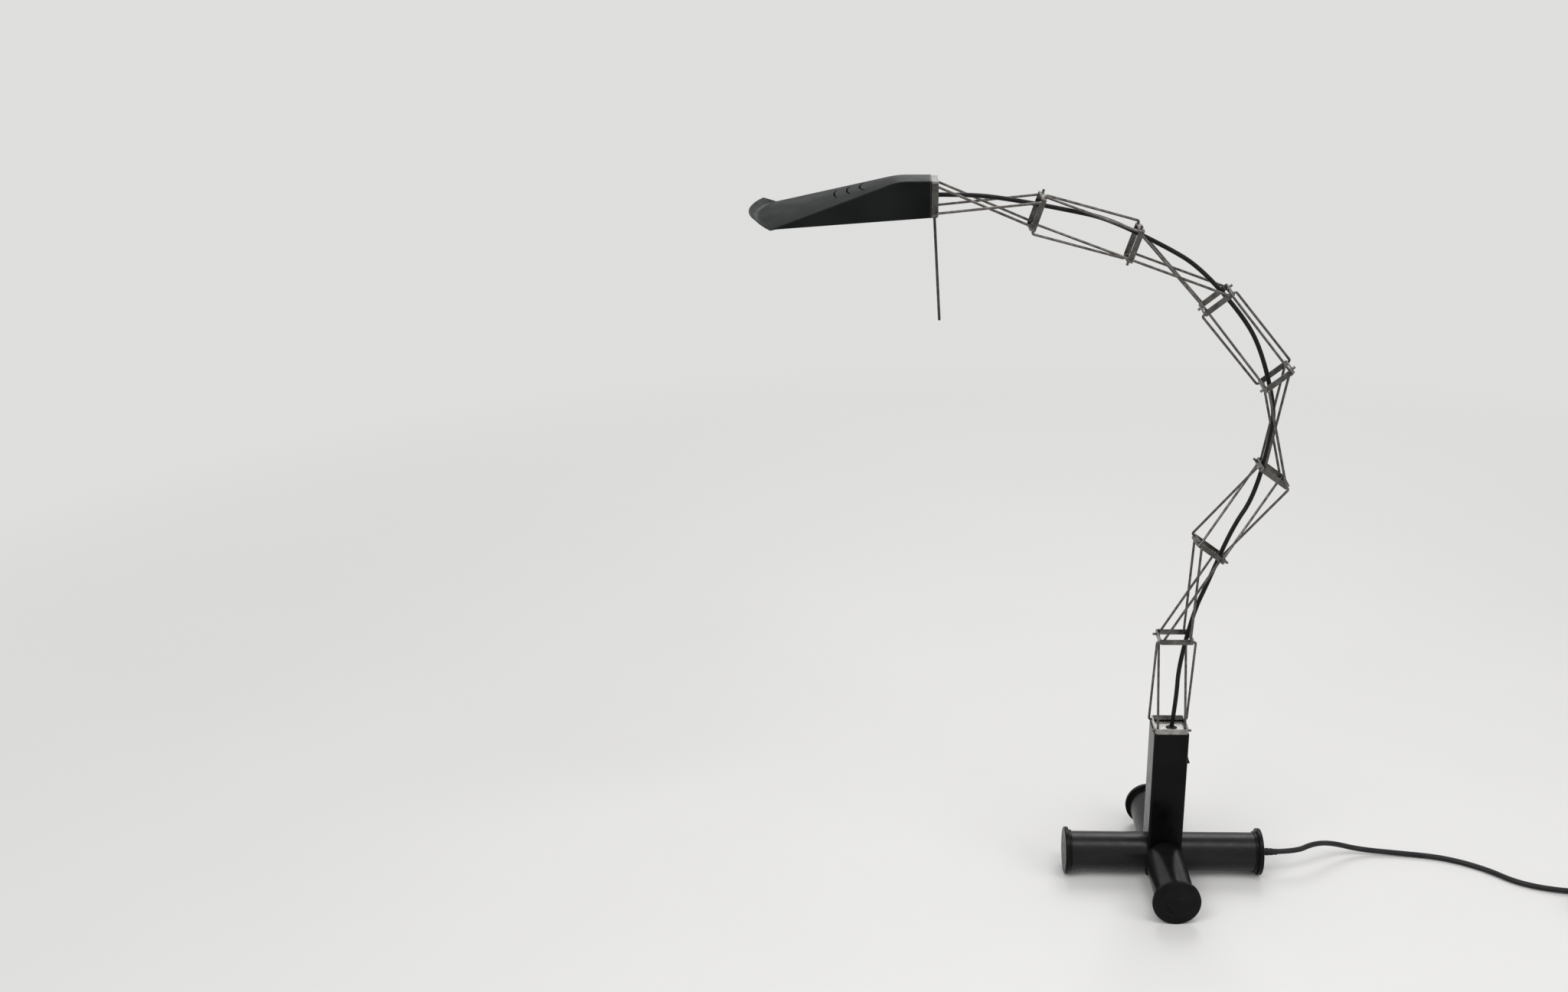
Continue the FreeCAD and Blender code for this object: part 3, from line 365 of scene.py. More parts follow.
NODE_LOOKS = {
    "post": "post_paint", "bottom_cover": "black_plastic", "top_plate": "plate_steel",
    "grommet": "rubber", "switch_body": "black_plastic", "switch_rocker": "cap_plastic",
    "terminal_block": "terminal_plastic", "leg_": "leg_paint", "leg_caps": "cap_plastic",
    "cord_cap": "cap_plastic", "ballast_bars": "lead", "frame_": "nickel",
    "frame_0": "lit_collar_nickel", "outer_rods_": "rod_nickel", "inner_rods_": "rod_nickel",
    "head_bulkhead": "black_plastic", "shade": "shade_paint", "lampholder": "ceramic",
    "bulb": "glass", "head_handle": "handle_chrome", "strain_relief": "rubber",
    "plug_pins": "pin_brass", "plug": "rubber", "coil_tie": "woven_band",
    "arm_cable_": "cable_jacket", "post_wiring": "cable_jacket", "head_lead": "cable_jacket",
    "mains_cord": "cord_jacket", "cord_coil": "cord_jacket",
}

# Each node takes the look of the longest name in the list that its own name starts with.
for name, node in nodes.items():
    fitting = max((key for key in NODE_LOOKS if name.startswith(key)), key=len)
    node.data.materials.clear()
    node.data.materials.append(looks[NODE_LOOKS[fitting]].material)


# ---- mesh helpers ----------------------------------------------------------------
END_ANGLE = math.radians(75)       # edges that turn further than this stay sharp on a tube
CURVE_STEPS, CURVE_ROUNDING = 8, 5
GUIDE_STEPS = 24


def in_scene(name, data):
    """A new object in the scene's own collection."""
    obj = bpy.data.objects.new(name, data)
    bpy.context.scene.collection.objects.link(obj)
    return obj


def evaluated_mesh(obj):
    """A new mesh of an object with its modifiers or its curve applied."""
    return bpy.data.meshes.new_from_object(
        obj.evaluated_get(bpy.context.evaluated_depsgraph_get()))


def piece(name, points, faces, look, slot=None, smooth=True):
    """A new mesh object with one material."""
    mesh = bpy.data.meshes.new(name)
    mesh.from_pydata([tuple(point) for point in points], [], faces)
    mesh.validate()
    mesh.update()
    if smooth:
        mesh.shade_smooth()
    return dress(in_scene(name, mesh), look)


def skinned(rings, looped=False):
    """Points and faces of a skin over closed rings; its ends are capped, or joined when looped."""
    count, rows = len(rings[0]), len(rings)
    points = [point for ring in rings for point in ring]
    faces = []
    for row in range(rows if looped else rows - 1):
        here, there = row * count, (row + 1) % rows * count
        for i in range(count):
            j = (i + 1) % count
            faces.append((here + i, here + j, there + j, there + i))
    if not looped:
        faces.append(tuple(reversed(range(count))))
        faces.append(tuple((rows - 1) * count + i for i in range(count)))
    return points, faces


def full_turn(steps):
    """Angles once round."""
    return [2 * math.pi * i / steps for i in range(steps)]


def spun(profile, place, steps=40):
    """Points and faces of a hollow turned shape; its profile holds (along, radius) pairs."""
    rings = []
    for along, radius in profile:
        rings.append([place @ Vector((radius * math.cos(a), radius * math.sin(a), along))
                      for a in full_turn(steps)])
    return skinned(rings, looped=True)


def spline_curve(name, route, diameter, look):
    """A cord: a smooth spline with the route's points as its control points."""
    curve = bpy.data.curves.new(name, "CURVE")
    curve.dimensions = "3D"
    curve.resolution_u = CURVE_STEPS
    curve.bevel_depth = diameter / 2
    curve.bevel_resolution = CURVE_ROUNDING
    curve.use_fill_caps = True
    spline = curve.splines.new("NURBS")
    spline.points.add(len(route) - 1)
    for point, at in zip(spline.points, route):
        point.co = (*at, 1)
    spline.order_u = 3
    spline.use_endpoint_u = True
    curve.materials.append(looks[look].material)
    return in_scene(name, curve)


def centreline(route):
    """Points along the smooth spline of a route."""
    guide = spline_curve("guide", route, 0.0, "cable_jacket")
    guide.data.resolution_u = GUIDE_STEPS
    mesh = evaluated_mesh(guide)
    points = [vertex.co.copy() for vertex in mesh.vertices]
    bpy.data.objects.remove(guide)
    bpy.data.meshes.remove(mesh)
    return points


def rings_along(line, diameter, sides=18, headings=(None, None)):
    """Rings round a line of points, square to it; headings are its ways at the two ends."""
    last = len(line) - 1
    ways = [(line[min(i + 1, last)] - line[max(i - 1, 0)]).normalized() for i in range(last + 1)]
    ways[0], ways[-1] = headings[0] or ways[0], headings[1] or ways[-1]
    across = ways[0].orthogonal().normalized()
    rings = []
    for at, along in zip(line, ways):
        across = (across - along * across.dot(along)).normalized()
        other = along.cross(across)
        rings.append([at + (across * math.cos(a) + other * math.sin(a)) * diameter / 2
                      for a in full_turn(sides)])
    return rings


def capped(name, rings, look):
    """A piece over rings that is smooth along its length and sharp at its two ends."""
    made = piece(name, *skinned(rings), look)
    made.data.set_sharp_from_angle(angle=END_ANGLE)
    return made


def tube(name, line, diameter, look, sides=18):
    """A round tube along a line of points."""
    return capped(name, rings_along(line, diameter, sides), look)


# ---- places ----------------------------------------------------------------------
def cell_axis(cell):
    """The axis that a cell bends about, in its lower frame."""
    return -X if cell % 2 else Y


def frame_places():
    """The place of each strip frame's middle plane, from the post to the head."""
    places = [Matrix.Translation(Z * FIRST_FRAME)]
    for cell, lean in enumerate(LEANS, 1):
        half_turn = math.radians(lean) / 2
        rise = math.sqrt(ROD_LENGTH ** 2 - (PIVOT_SPACING * math.cos(half_turn)) ** 2)
        half = Matrix.Rotation(half_turn, 4, cell_axis(cell))
        raised = Matrix.Translation(Z * PIVOT_RAISE)
        places.append(places[-1] @ raised @ half @ Matrix.Translation(Z * rise) @ half @ raised)
    return places


FRAMES = frame_places()
LAST = len(LEANS)
BODIES = ["base"] + ["frame_%d" % k for k in range(1, LAST)] + ["head"]
# The head's axes: x from its rear edge to the front, z up from its open lower side.
HEAD_PLACE = (FRAMES[LAST] @ Matrix.Translation((-SHADE_BOX_HEIGHT / 2, 0, HEAD_START))
              @ Matrix(((0, 0, 1, 0), (0, -1, 0, 0), (1, 0, 0, 0), (0, 0, 0, 1))))


# ---- arm cable -------------------------------------------------------------------
def cable_points():
    """Where the cable passes each frame, and the way that it is heading there."""
    places = [FRAMES[0] @ Vector((*CABLE_OFFSETS[0], POST_TOP + CABLE_START - FIRST_FRAME))]
    places += [FRAMES[i] @ Vector((*CABLE_OFFSETS[i], 0)) for i in range(1, LAST + 1)]
    headings = [(places[1] - places[0]).normalized()]
    headings += [(places[i + 1] - places[i - 1]).normalized() for i in range(1, LAST)]
    headings.append((FRAMES[LAST].to_3x3() @ Z).normalized())
    return places, headings


def arm_cables():
    """Each cell's stretch between the frames, in two halves."""
    places, headings = cable_points()
    for cell in range(1, LAST + 1):
        foot, top = places[cell - 1:cell + 1]
        ways = headings[cell - 1:cell + 1]
        pull = (top - foot).length * CABLE_PULL
        line = centreline([foot, foot + ways[0] * pull, top - ways[1] * pull, top])
        rings = rings_along(line, CABLE_DIAMETER, headings=ways)
        middle, last = len(line) // 2, len(line) - 1
        rods = "outer_rods_%d" % cell
        for start, end, first, second, which in ((0, middle, BODIES[cell - 1], rods, "lower"),
                                                 (middle, last, rods, BODIES[cell], "upper")):
            half = capped("arm_cable_%d_%s" % (cell, which), rings[start:end + 1], "cable_jacket")
            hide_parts("arm_cable_%d" % cell)
            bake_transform(half)


arm_cables()


# ---- hidden wiring ---------------------------------------------------------------
def hidden_wiring():
    """The leads inside the post and the head."""
    back = POST_SIDE / 2 - POST_WALL - TERMINAL_BLOCK[1] / 2
    top = TERMINAL_FOOT + TERMINAL_BLOCK[2]
    start, _ = CABLE_OFFSETS[0]
    above, under = WIRING_RUNS
    behind, over = LEAD_TURN
    upper = [Vector((start, 0, POST_TOP + CABLE_START)), Vector((start, 0, POST_TOP - WIRING_TOP)),
             Vector((0, back, top + above)), Vector((0, back, top))]
    lower = [Vector((0, back, TERMINAL_FOOT)), Vector((0, back, TERMINAL_FOOT - under)),
             Vector((-behind, 0, AXIS_HEIGHT + over)), Vector((0, 0, AXIS_HEIGHT)),
             Vector((POST_SIDE, 0, AXIS_HEIGHT)), Vector((BASE_REACH, 0, AXIS_HEIGHT))]
    height = SHADE_BOX_HEIGHT / 2 + CABLE_OFFSETS[LAST][0]
    low = HOLDER_HEIGHT + HOLDER_RISE
    inner = [(-HEAD_START, 0, height), (HOLDER_RUN, 0, height),
             (HOLDER_BODY[1] - HOLDER_RUN, 0, low), (HOLDER_BODY[1], 0, low)]
    inner = [HEAD_PLACE @ Vector(point) for point in inner]
    for name, route, diameter, node, body in (
            ("post_cable", upper, CABLE_DIAMETER, "post_wiring", "base"),
            ("post_lead", lower, CORD_DIAMETER, "post_wiring", "base"),
            ("holder_lead", inner, CABLE_DIAMETER, "head_lead", "head")):
        lead = tube(name, centreline(route), diameter, "cable_jacket")
        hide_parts(node)
        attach(lead, body)


hidden_wiring()


# ---- mains cord ------------------------------------------------------------------
CORD_RADIUS = CORD_DIAMETER / 2
COIL_INNER = COIL_OUTER - COIL_TURNS * COIL_PITCH
LAYERS = (COIL_LIFT + CORD_RADIUS, COIL_LIFT + CORD_RADIUS + COIL_PITCH)
REVERSE_TURNS, EXIT_TURNS = .5, .25
COIL_END = 2 * COIL_TURNS + REVERSE_TURNS + EXIT_TURNS
COIL_POINTS = 24                   # control points to a turn
SMALL_TURN = 1e-4
CORD_EXIT = Vector((BASE_REACH, 0, AXIS_HEIGHT))
CORD_START = .002                  # past the exit
CORD_IN_PLUG = .004


def smooth(share):
    """A rise from 0 to 1 with level ends."""
    return share * share * (3 - 2 * share)


def coil_point(turn):
    """Middle of the wound cord after some turns: in on the floor, out on top of it."""
    reverse, last = COIL_TURNS + REVERSE_TURNS, 2 * COIL_TURNS + REVERSE_TURNS
    low, high = LAYERS
    if turn < COIL_TURNS:
        radius, height = COIL_OUTER - turn * COIL_PITCH, low
    elif turn < reverse:
        share = (turn - COIL_TURNS) / REVERSE_TURNS
        radius = COIL_INNER - COIL_PITCH / 2 * share * (1 - share)
        height = low + (high - low) * smooth(share)
    elif turn < last:
        radius, height = COIL_INNER + (turn - reverse) * COIL_PITCH, high
    else:
        away = smooth(min((turn - last) / EXIT_TURNS, 1))
        radius = COIL_OUTER + (turn - last) * COIL_PITCH + COIL_EXIT * away
        height = high + (PLUG_BODY[2] / 2 - high) * away
    angle = math.pi / 2 - 2 * math.pi * turn
    middle_x, middle_y = COIL_CENTRE
    return Vector((middle_x + radius * math.cos(angle), middle_y + radius * math.sin(angle),
                   height))


def coil_heading(turn):
    """The cord's level direction in the coil."""
    step = coil_point(turn + SMALL_TURN) - coil_point(turn - SMALL_TURN)
    return Vector((step.x, step.y, 0)).normalized()


PLUG_ROOT = coil_point(COIL_END) + coil_heading(COIL_END) * CORD_DIAMETER


def cord_route():
    """The cord's control points, from the strain relief to the plug; the free run's are listed."""
    entry = coil_point(0) - coil_heading(0) * CORD_DIAMETER
    route = [CORD_EXIT + X * CORD_START, Vector((.157, 0, AXIS_HEIGHT)), Vector((.181, .015, .030)),
             Vector((.208, .033, .021)), Vector((.244, .043, .0065)), Vector((.292, .040, .0035)),
             Vector((.342, .031, .0034)), Vector((.384, .006, .0034)), Vector((.412, -.026, .0035)),
             entry - coil_heading(0) * COIL_ENTRY, entry]
    steps = round(COIL_END * COIL_POINTS)
    route += [coil_point(COIL_END * i / steps) for i in range(steps + 1)]
    return route + [PLUG_ROOT, PLUG_ROOT + coil_heading(COIL_END) * CORD_IN_PLUG]


cord = spline_curve("mains_lead", cord_route(), CORD_DIAMETER, "cord_jacket")
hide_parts("mains_cord", "cord_coil")
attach(cord, "base")


# The plug's half width along its length, as (share of the length, half width).
PLUG_OUTLINE = ((0, .0055), (.12, .0072), (.28, .0125), (.42, PLUG_BODY[1] / 2),
                (.62, PLUG_BODY[1] / 2), (.80, .0150), (1.0, PLUG_NOSE / 2 + .003))
PLUG_SIDES, PLUG_SPLITS = 40, 5
PLUG_SQUARENESS = .55              # 1 is an oval section, and less is squarer
PLUG_ROOT_THICK, PLUG_SWELL = .72, 1.6             # share of the thickness there, and its growth
GRIP = (.40, .64)                  # where the ribs are, as shares of the length
RIB_DEPTH, RIB_RATE = .0005, 90.0                  # metres, and radians over the length
PLUG_END, PLUG_END_DRAW = .06, .10                 # rounded length and how far it draws in


def plug_body():
    """A moulded flat plug with a waist, grip ribs and a narrowed nose."""
    length, _, thick = PLUG_BODY
    heading = coil_heading(COIL_END)
    side = Z.cross(heading)
    stations = []
    for (a, wide_a), (b, wide_b) in zip(PLUG_OUTLINE, PLUG_OUTLINE[1:]):
        stations += [(a + (b - a) * k / PLUG_SPLITS, wide_a + (wide_b - wide_a) * k / PLUG_SPLITS)
                     for k in range(PLUG_SPLITS)]
    stations.append(PLUG_OUTLINE[-1])
    rings = []
    for share, wide in stations:
        swell = thick / 2 * min(1.0, PLUG_ROOT_THICK + PLUG_SWELL * share)
        ribbed = GRIP[0] < share < GRIP[1] and math.sin(share * RIB_RATE) > 0
        rib = RIB_DEPTH if ribbed else 0.0
        ends = min(share, 1 - share) / PLUG_END
        shrink = 1 - PLUG_END_DRAW * max(0.0, 1 - ends) ** 2
        ring = []
        for angle in full_turn(PLUG_SIDES):
            c, s = math.cos(angle), math.sin(angle)
            across = math.copysign(abs(c) ** PLUG_SQUARENESS, c) * (wide - rib) * shrink
            up = math.copysign(abs(s) ** PLUG_SQUARENESS, s) * (swell - rib) * shrink
            ring.append(PLUG_ROOT + heading * (share * length) + side * across + Z * up)
        rings.append(ring)
    body = piece("plug_body", *skinned(rings), "rubber")
    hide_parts("plug")
    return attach(body, "base")


TIE_GAP = .0004                    # from the cord to the middle of the strap's thickness
TIE_THICK = .0006
TIE_EDGE = .0002                   # bevel of the strap's edges
TIE_TURN = .75                     # how far round from the entry it is
TIE_TOP_TURNS = (.5, 2.5)          # the same place on the upper layer, inside and outside
TIE_BEND_STEPS = 8
TIE_ANGLE = math.radians(40)       # edges that turn further than this stay sharp
TAB_THICK = .0009
TAB_OUTLINE = ((-.0050, -.0036), (.0045, -.0036), (.0062, 0), (.0045, .0036), (-.0050, .0036))


def strap_section():
    """The strap's section, as (out from the coil, along the cord) pairs."""
    thick, wide = TIE_THICK / 2, TIE_WIDTH / 2
    half = [(thick, wide - TIE_EDGE), (thick - TIE_EDGE, wide), (TIE_EDGE - thick, wide),
            (-thick, wide - TIE_EDGE)]
    return half + [(out, -along) for out, along in reversed(half)]


def tie_band():
    """The coil's band: a flat woven strap drawn round the turns, and its pointed end on top."""
    low, high = LAYERS
    # The bundle's four corners on the coil's -x side, as (distance from its middle, height).
    inside, outside = TIE_TOP_TURNS
    corners = [(COIL_INNER, low), (COIL_OUTER - TIE_TURN * COIL_PITCH, low),
               (COIL_INNER + outside * COIL_PITCH, high), (COIL_INNER + inside * COIL_PITCH, high)]
    room = CORD_RADIUS + TIE_GAP
    middle_x, middle_y = COIL_CENTRE
    rings = []
    for i, (away, height) in enumerate(corners):
        before, after = corners[i - 1], corners[(i + 1) % len(corners)]
        first = math.atan2(before[0] - away, height - before[1])
        second = math.atan2(away - after[0], after[1] - height)
        sweep = (second - first) % (2 * math.pi)
        for k in range(TIE_BEND_STEPS + 1):
            angle = first + sweep * k / TIE_BEND_STEPS
            out, up = math.cos(angle), math.sin(angle)
            rings.append([Vector((middle_x - away - out * (room + thick), middle_y - along,
                                  height + up * (room + thick)))
                          for thick, along in strap_section()])
    band = piece("coil_band", *skinned(rings, looped=True), "woven_band")
    band.data.set_sharp_from_angle(angle=TIE_ANGLE)
    tab_x = middle_x - COIL_INNER - (inside + outside) / 2 * COIL_PITCH
    bottom = high + room + TIE_THICK / 2
    rings = [[Vector((tab_x + x, middle_y + y, level)) for x, y in TAB_OUTLINE]
             for level in (bottom, bottom + TAB_THICK)]
    end = piece("coil_band_end", *skinned(rings), "woven_band", smooth=False)
    for obj in (band, end):
        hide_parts("coil_tie")
        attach(obj, "base")
    return [band, end]


plug = plug_body()
ties = tie_band()


# ---- shade -----------------------------------------------------------------------
FRONT_CENTRE = SHADE_REACH - SHADE_FRONT_RADIUS
BRIM_FILLET = (.0050, .0034)       # its reach on the top and on the brim
FILLET_FADE = .9                   # how much of it is lost towards the brim's two ends
FILLET_STEPS = 6
REAR_STEPS, TOP_STEPS, BRIM_STEPS = 3, 16, 3       # from the rear edge to the rim
SHADE_ROWS = 30                    # across the top
FOLD_BEVEL, FOLD_SEGMENTS, FOLD_ANGLE = .0012, 3, math.radians(35)
SHADE_ANGLE = math.radians(38)     # edges that turn further than this stay sharp
SLOT_STEPS = 16
SLOT_SECTION = ((-.5, .060), (.5, .060), (.5, .004), (-.5, .004))  # (share of the width, height)
# The inner faces that stay black: the brim's, which look outwards past this radius, and the sides'.
BRIM_START = SHADE_FRONT_RADIUS - .008
BRIM_FACING, SIDE_FACING = .2, .6


def round_corner(before, corner, after, reach_in, reach_out, steps):
    """Points of a smooth turn that stands in for a corner."""
    start = corner + (before - corner).normalized() * reach_in
    end = corner + (after - corner).normalized() * reach_out
    turn = []
    for i in range(steps + 1):
        t = i / steps
        turn.append(start * (1 - t) ** 2 + corner * 2 * t * (1 - t) + end * t ** 2)
    return turn


def split(start, end, steps):
    """Points that split a line into equal steps, with both of its ends."""
    return [start + (end - start) * i / steps for i in range(steps + 1)]


def shade_profile(across):
    """A line of the shade's top from the rear edge to the brim's rim; across runs from -1 to 1."""
    front_turn = across * math.asin(SHADE_WIDTH / 2 / SHADE_FRONT_RADIUS)
    rim_turn = across * math.radians(BRIM_SPAN / 2)
    rim_radius = SHADE_FRONT_RADIUS + BRIM_OUT
    rear = Vector((0, across * SHADE_BOX_WIDTH / 2, SHADE_BOX_HEIGHT))
    fold = Vector((SHADE_FOLD, across * SHADE_FOLD_WIDTH / 2,
                   SHADE_BOX_HEIGHT + SHADE_FOLD_RISE * (1 - across ** 2)))
    front = Vector((FRONT_CENTRE + SHADE_FRONT_RADIUS * math.cos(front_turn),
                    SHADE_FRONT_RADIUS * math.sin(front_turn), 0))
    rim = Vector((FRONT_CENTRE + rim_radius * math.cos(rim_turn),
                  rim_radius * math.sin(rim_turn), BRIM_RISE))
    fade = 1 - FILLET_FADE * across ** 4
    bend = round_corner(rear, fold, front, SHADE_BEND, SHADE_BEND, FILLET_STEPS)
    fillet = round_corner(fold, front, rim, BRIM_FILLET[0] * fade, BRIM_FILLET[1] * fade,
                          FILLET_STEPS)
    return (split(rear, bend[0], REAR_STEPS)[:-1] + bend
            + split(bend[-1], fillet[0], TOP_STEPS)[1:-1] + fillet
            + split(fillet[-1], rim, BRIM_STEPS)[1:])


def slot_cutter():
    """The three curved slots' solids, to be cut from the shade."""
    points, faces = [], []
    for place in SLOT_PLACES:
        radius = place - FRONT_CENTRE
        half_turn = math.asin(SLOT_SPAN / 2 / radius)
        rings = []
        for i in range(SLOT_STEPS + 1):
            angle = half_turn * (2 * i / SLOT_STEPS - 1)
            corners = []
            for reach, height in SLOT_SECTION:
                out = radius + reach * SLOT_WIDTH
                corners.append(HEAD_PLACE @ Vector((FRONT_CENTRE + out * math.cos(angle),
                                                    out * math.sin(angle), height)))
            rings.append(corners)
        new_points, new_faces = skinned(rings)
        faces += [tuple(len(points) + i for i in face) for face in new_faces]
        points += new_points
    return piece("slot_cutter", points, faces, "shade_paint", smooth=False)


def shade_skin():
    """Points and faces of the shade's outer skin: the top with its brim, and the two sides."""
    profiles = [shade_profile(2 * j / SHADE_ROWS - 1) for j in range(SHADE_ROWS + 1)]
    count = len(profiles[0])
    corner = REAR_STEPS + FILLET_STEPS + TOP_STEPS
    points = [point for profile in profiles for point in profile]
    faces = []
    for j in range(SHADE_ROWS):
        for i in range(count - 1):
            a, b = j * count + i, (j + 1) * count + i
            faces.append((a, a + 1, b + 1, b))
    for j, side in ((0, -1), (SHADE_ROWS, 1)):
        foot = Vector((0, side * SHADE_BOX_WIDTH / 2, 0))
        front = Vector((profiles[j][corner].x, side * SHADE_WIDTH / 2, 0))
        first = len(points)
        for i in range(corner):
            points.append(foot + (front - foot) * profiles[j][i].x / front.x)
        for i in range(corner):
            top, low = j * count + i, first + i
            face = (top, top + 1, low + 1, low) if i < corner - 1 else (top, top + 1, low)
            faces.append(tuple(reversed(face)) if side < 0 else face)
    return [HEAD_PLACE @ point for point in points], faces


def paint_inside_black(mesh):
    """Takes the white lining off the brim's and the sides' inner faces."""
    to_head = HEAD_PLACE.inverted()
    for face in mesh.polygons:
        at, facing = to_head @ face.center, to_head.to_3x3() @ face.normal
        outward = Vector((at.x - FRONT_CENTRE, at.y, 0))
        on_brim = outward.length > BRIM_START and facing.dot(outward.normalized()) > BRIM_FACING
        if on_brim or abs(facing.y) > SIDE_FACING:
            face.material_index = 0


def shade():
    """The folded shade: fan-shaped top with a rounded fold, turned-up brim and two sides."""
    made = piece("shade_shell", *shade_skin(), "shade_paint", "shade_paint")
    made.data.materials.append(looks["lining_white"].material)
    edge = made.modifiers.new("fold_edge", "BEVEL")
    edge.width, edge.segments = FOLD_BEVEL, FOLD_SEGMENTS
    edge.limit_method, edge.angle_limit = "ANGLE", FOLD_ANGLE
    sheet = made.modifiers.new("sheet", "SOLIDIFY")
    sheet.thickness, sheet.offset, sheet.material_offset = SHEET, -1, 1
    cutter = slot_cutter()
    cut = made.modifiers.new("slots", "BOOLEAN")
    cut.operation, cut.solver, cut.object = "DIFFERENCE", "EXACT", cutter
    shaped = evaluated_mesh(made)
    made.modifiers.clear()
    made.data = shaped
    shaped.shade_smooth()
    shaped.set_sharp_from_angle(angle=SHADE_ANGLE)
    bpy.data.objects.remove(cutter)
    paint_inside_black(shaped)
    flat = made.modifiers.new("flat_faces", "WEIGHTED_NORMAL")
    flat.keep_sharp = True
    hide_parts("shade")
    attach(made, "head")


shade()


# ---- bulb ------------------------------------------------------------------------
BULB_WALL = .0009
BULB_SHOULDER = .004               # from the holder's end to the capsule's full width
BULB_PINCH = .003                  # where the wall's inner side starts, past the holder's end
BULB_STEPS = 8
TIP_RADIUS = 1e-5                  # keeps the tip's last ring open
FILAMENT_SPAN = (.014, .034)       # past the holder's end
FILAMENT_RADIUS, FILAMENT_WIRE = .0011, .0003
FILAMENT_TURNS, FILAMENT_STEPS = 24, 14
SUPPORT_WIRE, SUPPORT_FOOT = .0006, .0035
SUPPORT_AWAY, SUPPORT_SHOULDER, SUPPORT_BEND = .0025, .0020, .004


def capsule_outline(shrink, foot):
    """Half of the capsule's outline, as (along, radius) pairs from its foot to its tip."""
    end, radius = HOLDER_BODY[2], BULB_DIAMETER / 2
    half, neck = radius - shrink, BULB_SEAT[0] / 2 - shrink
    middle = end + BULB_LENGTH - radius
    line = [(foot, neck), (end, neck), (end + BULB_SHOULDER, half)]
    for i in range(BULB_STEPS + 1):
        angle = math.pi / 2 * i / BULB_STEPS
        line.append((middle + half * math.sin(angle), max(half * math.cos(angle), TIP_RADIUS)))
    return line


def bulb_parts():
    """A clear capsule with its wall, pinched foot, support wires and coiled filament."""
    end = HOLDER_BODY[2]
    place = (HEAD_PLACE @ Matrix.Translation((0, 0, HOLDER_HEIGHT))
             @ Matrix.Rotation(math.pi / 2, 4, "Y"))
    outer = capsule_outline(0, end - BULB_SEAT[1])
    inner = capsule_outline(BULB_WALL, end + BULB_PINCH)
    shell = piece("bulb_glass", *spun(outer + inner[::-1], place), "glass", "bulb_glass")
    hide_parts("bulb")
    pieces = [shell]
    start, stop = (end + along for along in FILAMENT_SPAN)
    coil = []
    steps = FILAMENT_TURNS * FILAMENT_STEPS
    for i in range(steps + 1):
        angle = 2 * math.pi * i / FILAMENT_STEPS
        coil.append(place @ Vector((FILAMENT_RADIUS * math.cos(angle),
                                    FILAMENT_RADIUS * math.sin(angle),
                                    start + (stop - start) * i / steps)))
    pieces.append(tube("bulb_filament", coil, FILAMENT_WIRE, "tungsten", sides=6))
    for which, side, reach in (("a", -1, start), ("b", 1, stop)):
        wire = [(SUPPORT_AWAY * side, 0, end + SUPPORT_FOOT),
                (SUPPORT_AWAY * side, 0, reach - SUPPORT_BEND),
                (SUPPORT_SHOULDER * side, 0, reach), (FILAMENT_RADIUS, 0, reach)]
        line = centreline([place @ Vector(point) for point in wire])
        pieces.append(tube("bulb_support_" + which, line, SUPPORT_WIRE, "tungsten", sides=8))
    for obj in pieces:
        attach(obj, "head")


bulb_parts()


# ---- stage, lights and camera ----------------------------------------------------
FLOOR_REACH = 40.0
FLOOR_FADE = (0.6, 2.3)            # where the floor starts and ends its fade, from its middle
FAR_TONE = (.735, .735, .727, 1)
ROOM_LIGHT, ROOM_TONE = 0.46, 0.735
VIEW_END = 100.0
# Each soft box: its name, its place, where it looks, its side and its watts.
LAMPS = (("key", (-1.6, -1.8, 2.4), (0, 0, .4), 1.6, 37.0),
         ("top", (.3, -.9, 2.5), (0, 0, .3), 1.0, 13.0),
         ("fill", (1.9, -1.4, 1.5), (0, 0, .4), 1.6, 16.0),
         ("rim", (.2, 1.9, 2.2), (0, 0, .5), 1.4, 24.0))


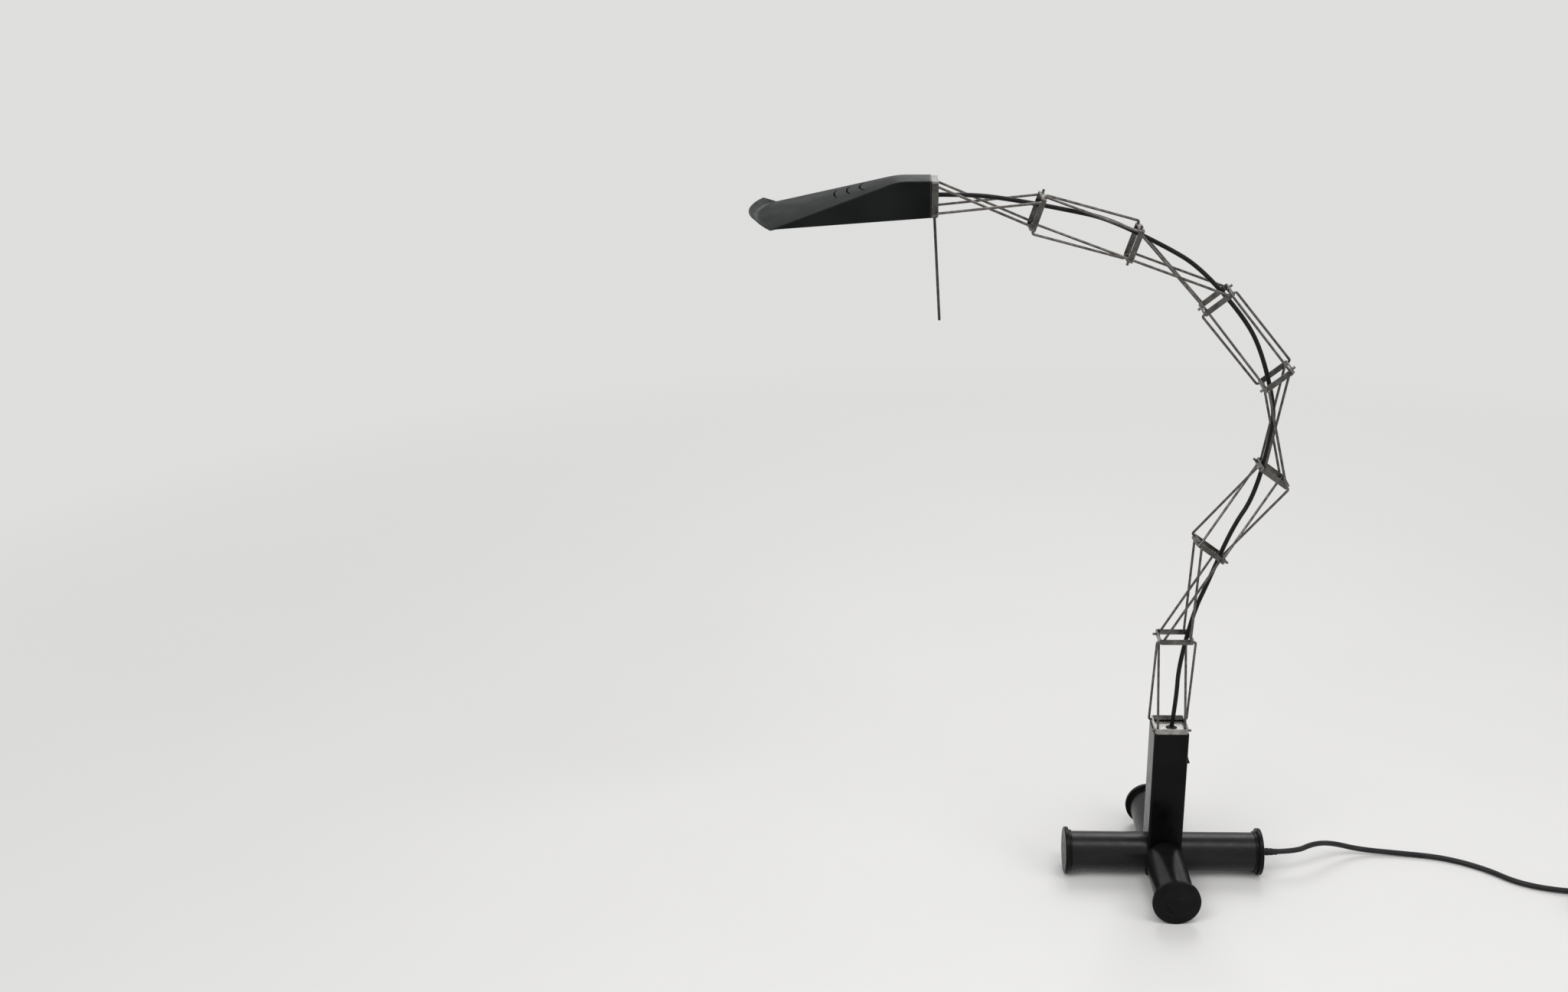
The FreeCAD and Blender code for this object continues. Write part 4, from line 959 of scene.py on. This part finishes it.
def floor():
    """A pale floor that turns into the plain background where the camera sees it far away."""
    look = looks["floor_pale"] = Look("floor_pale")
    look.colour((.715, .71, .70), (.725, .72, .71), 3.0).gloss(.62, .68, 20.0)
    away = look.node("VectorMath", operation="LENGTH")
    look.link(look.place, away.inputs[0])
    far = look.spread(away.outputs["Value"], 0.0, 1.0, *FLOOR_FADE)
    seen = look.node("LightPath")
    shown = look.node("Math", operation="MULTIPLY")
    look.link(far, shown.inputs[0])
    look.link(seen.outputs["Is Camera Ray"], shown.inputs[1])
    plain = look.node("Emission")
    plain.inputs["Color"].default_value = FAR_TONE
    mix = look.node("MixShader")
    look.link(shown.outputs["Value"], mix.inputs["Fac"])
    look.link(look.shader.outputs["BSDF"], mix.inputs[1])
    look.link(plain.outputs["Emission"], mix.inputs[2])
    look.link(mix.outputs["Shader"], look.tree.nodes["Material Output"].inputs["Surface"])
    corners = [(x * FLOOR_REACH, y * FLOOR_REACH, 0)
               for x, y in ((-1, -1), (1, -1), (1, 1), (-1, 1))]
    piece("floor", corners, [(0, 1, 2, 3)], "floor_pale", smooth=False)


def world():
    """Plain soft light, and a white room where the camera, a gloss or the glass looks."""
    made = bpy.data.worlds.new("studio")
    made.use_nodes = True
    tree = made.node_tree
    tree.nodes.clear()
    path = tree.nodes.new("ShaderNodeLightPath")
    seen = path.outputs["Is Camera Ray"]
    for ray in ("Is Glossy Ray", "Is Transmission Ray"):
        either = tree.nodes.new("ShaderNodeMath")
        either.operation = "MAXIMUM"
        tree.links.new(seen, either.inputs[0])
        tree.links.new(path.outputs[ray], either.inputs[1])
        seen = either.outputs["Value"]
    mix = tree.nodes.new("ShaderNodeMixShader")
    tree.links.new(seen, mix.inputs["Fac"])
    for socket, strength in ((1, ROOM_LIGHT), (2, ROOM_TONE)):
        room = tree.nodes.new("ShaderNodeBackground")
        room.inputs["Color"].default_value = (1, 1, 1, 1)
        room.inputs["Strength"].default_value = strength
        tree.links.new(room.outputs["Background"], mix.inputs[socket])
    out = tree.nodes.new("ShaderNodeOutputWorld")
    tree.links.new(mix.outputs["Shader"], out.inputs["Surface"])
    bpy.context.scene.world = made


def lamp(name, at, target, size, power):
    """A square soft box that looks at a point."""
    light = bpy.data.lights.new(name, "AREA")
    light.size = size
    light.energy = power
    obj = in_scene(name, light)
    obj.location = at
    obj.rotation_euler = (Vector(target) - Vector(at)).to_track_quat("-Z", "Y").to_euler()


def camera():
    """The photograph's camera."""
    turn = (Matrix.Rotation(ROLL, 3, "Y") @ Matrix.Rotation(PITCH, 3, "X")
            @ Matrix.Rotation(YAW, 3, "Z"))
    right, forward, up = turn.row
    data = bpy.data.cameras.new("camera")
    data.lens, data.sensor_width = LENS, SENSOR
    data.clip_end = VIEW_END
    obj = in_scene("camera", data)
    axes = Matrix((right, up, -forward)).transposed().to_4x4()
    obj.matrix_world = Matrix.Translation(EYE) @ axes
    bpy.context.scene.camera = obj


floor()
world()
for settings in LAMPS:
    lamp(*settings)
camera()
bpy.context.scene.view_settings.view_transform = "Standard"
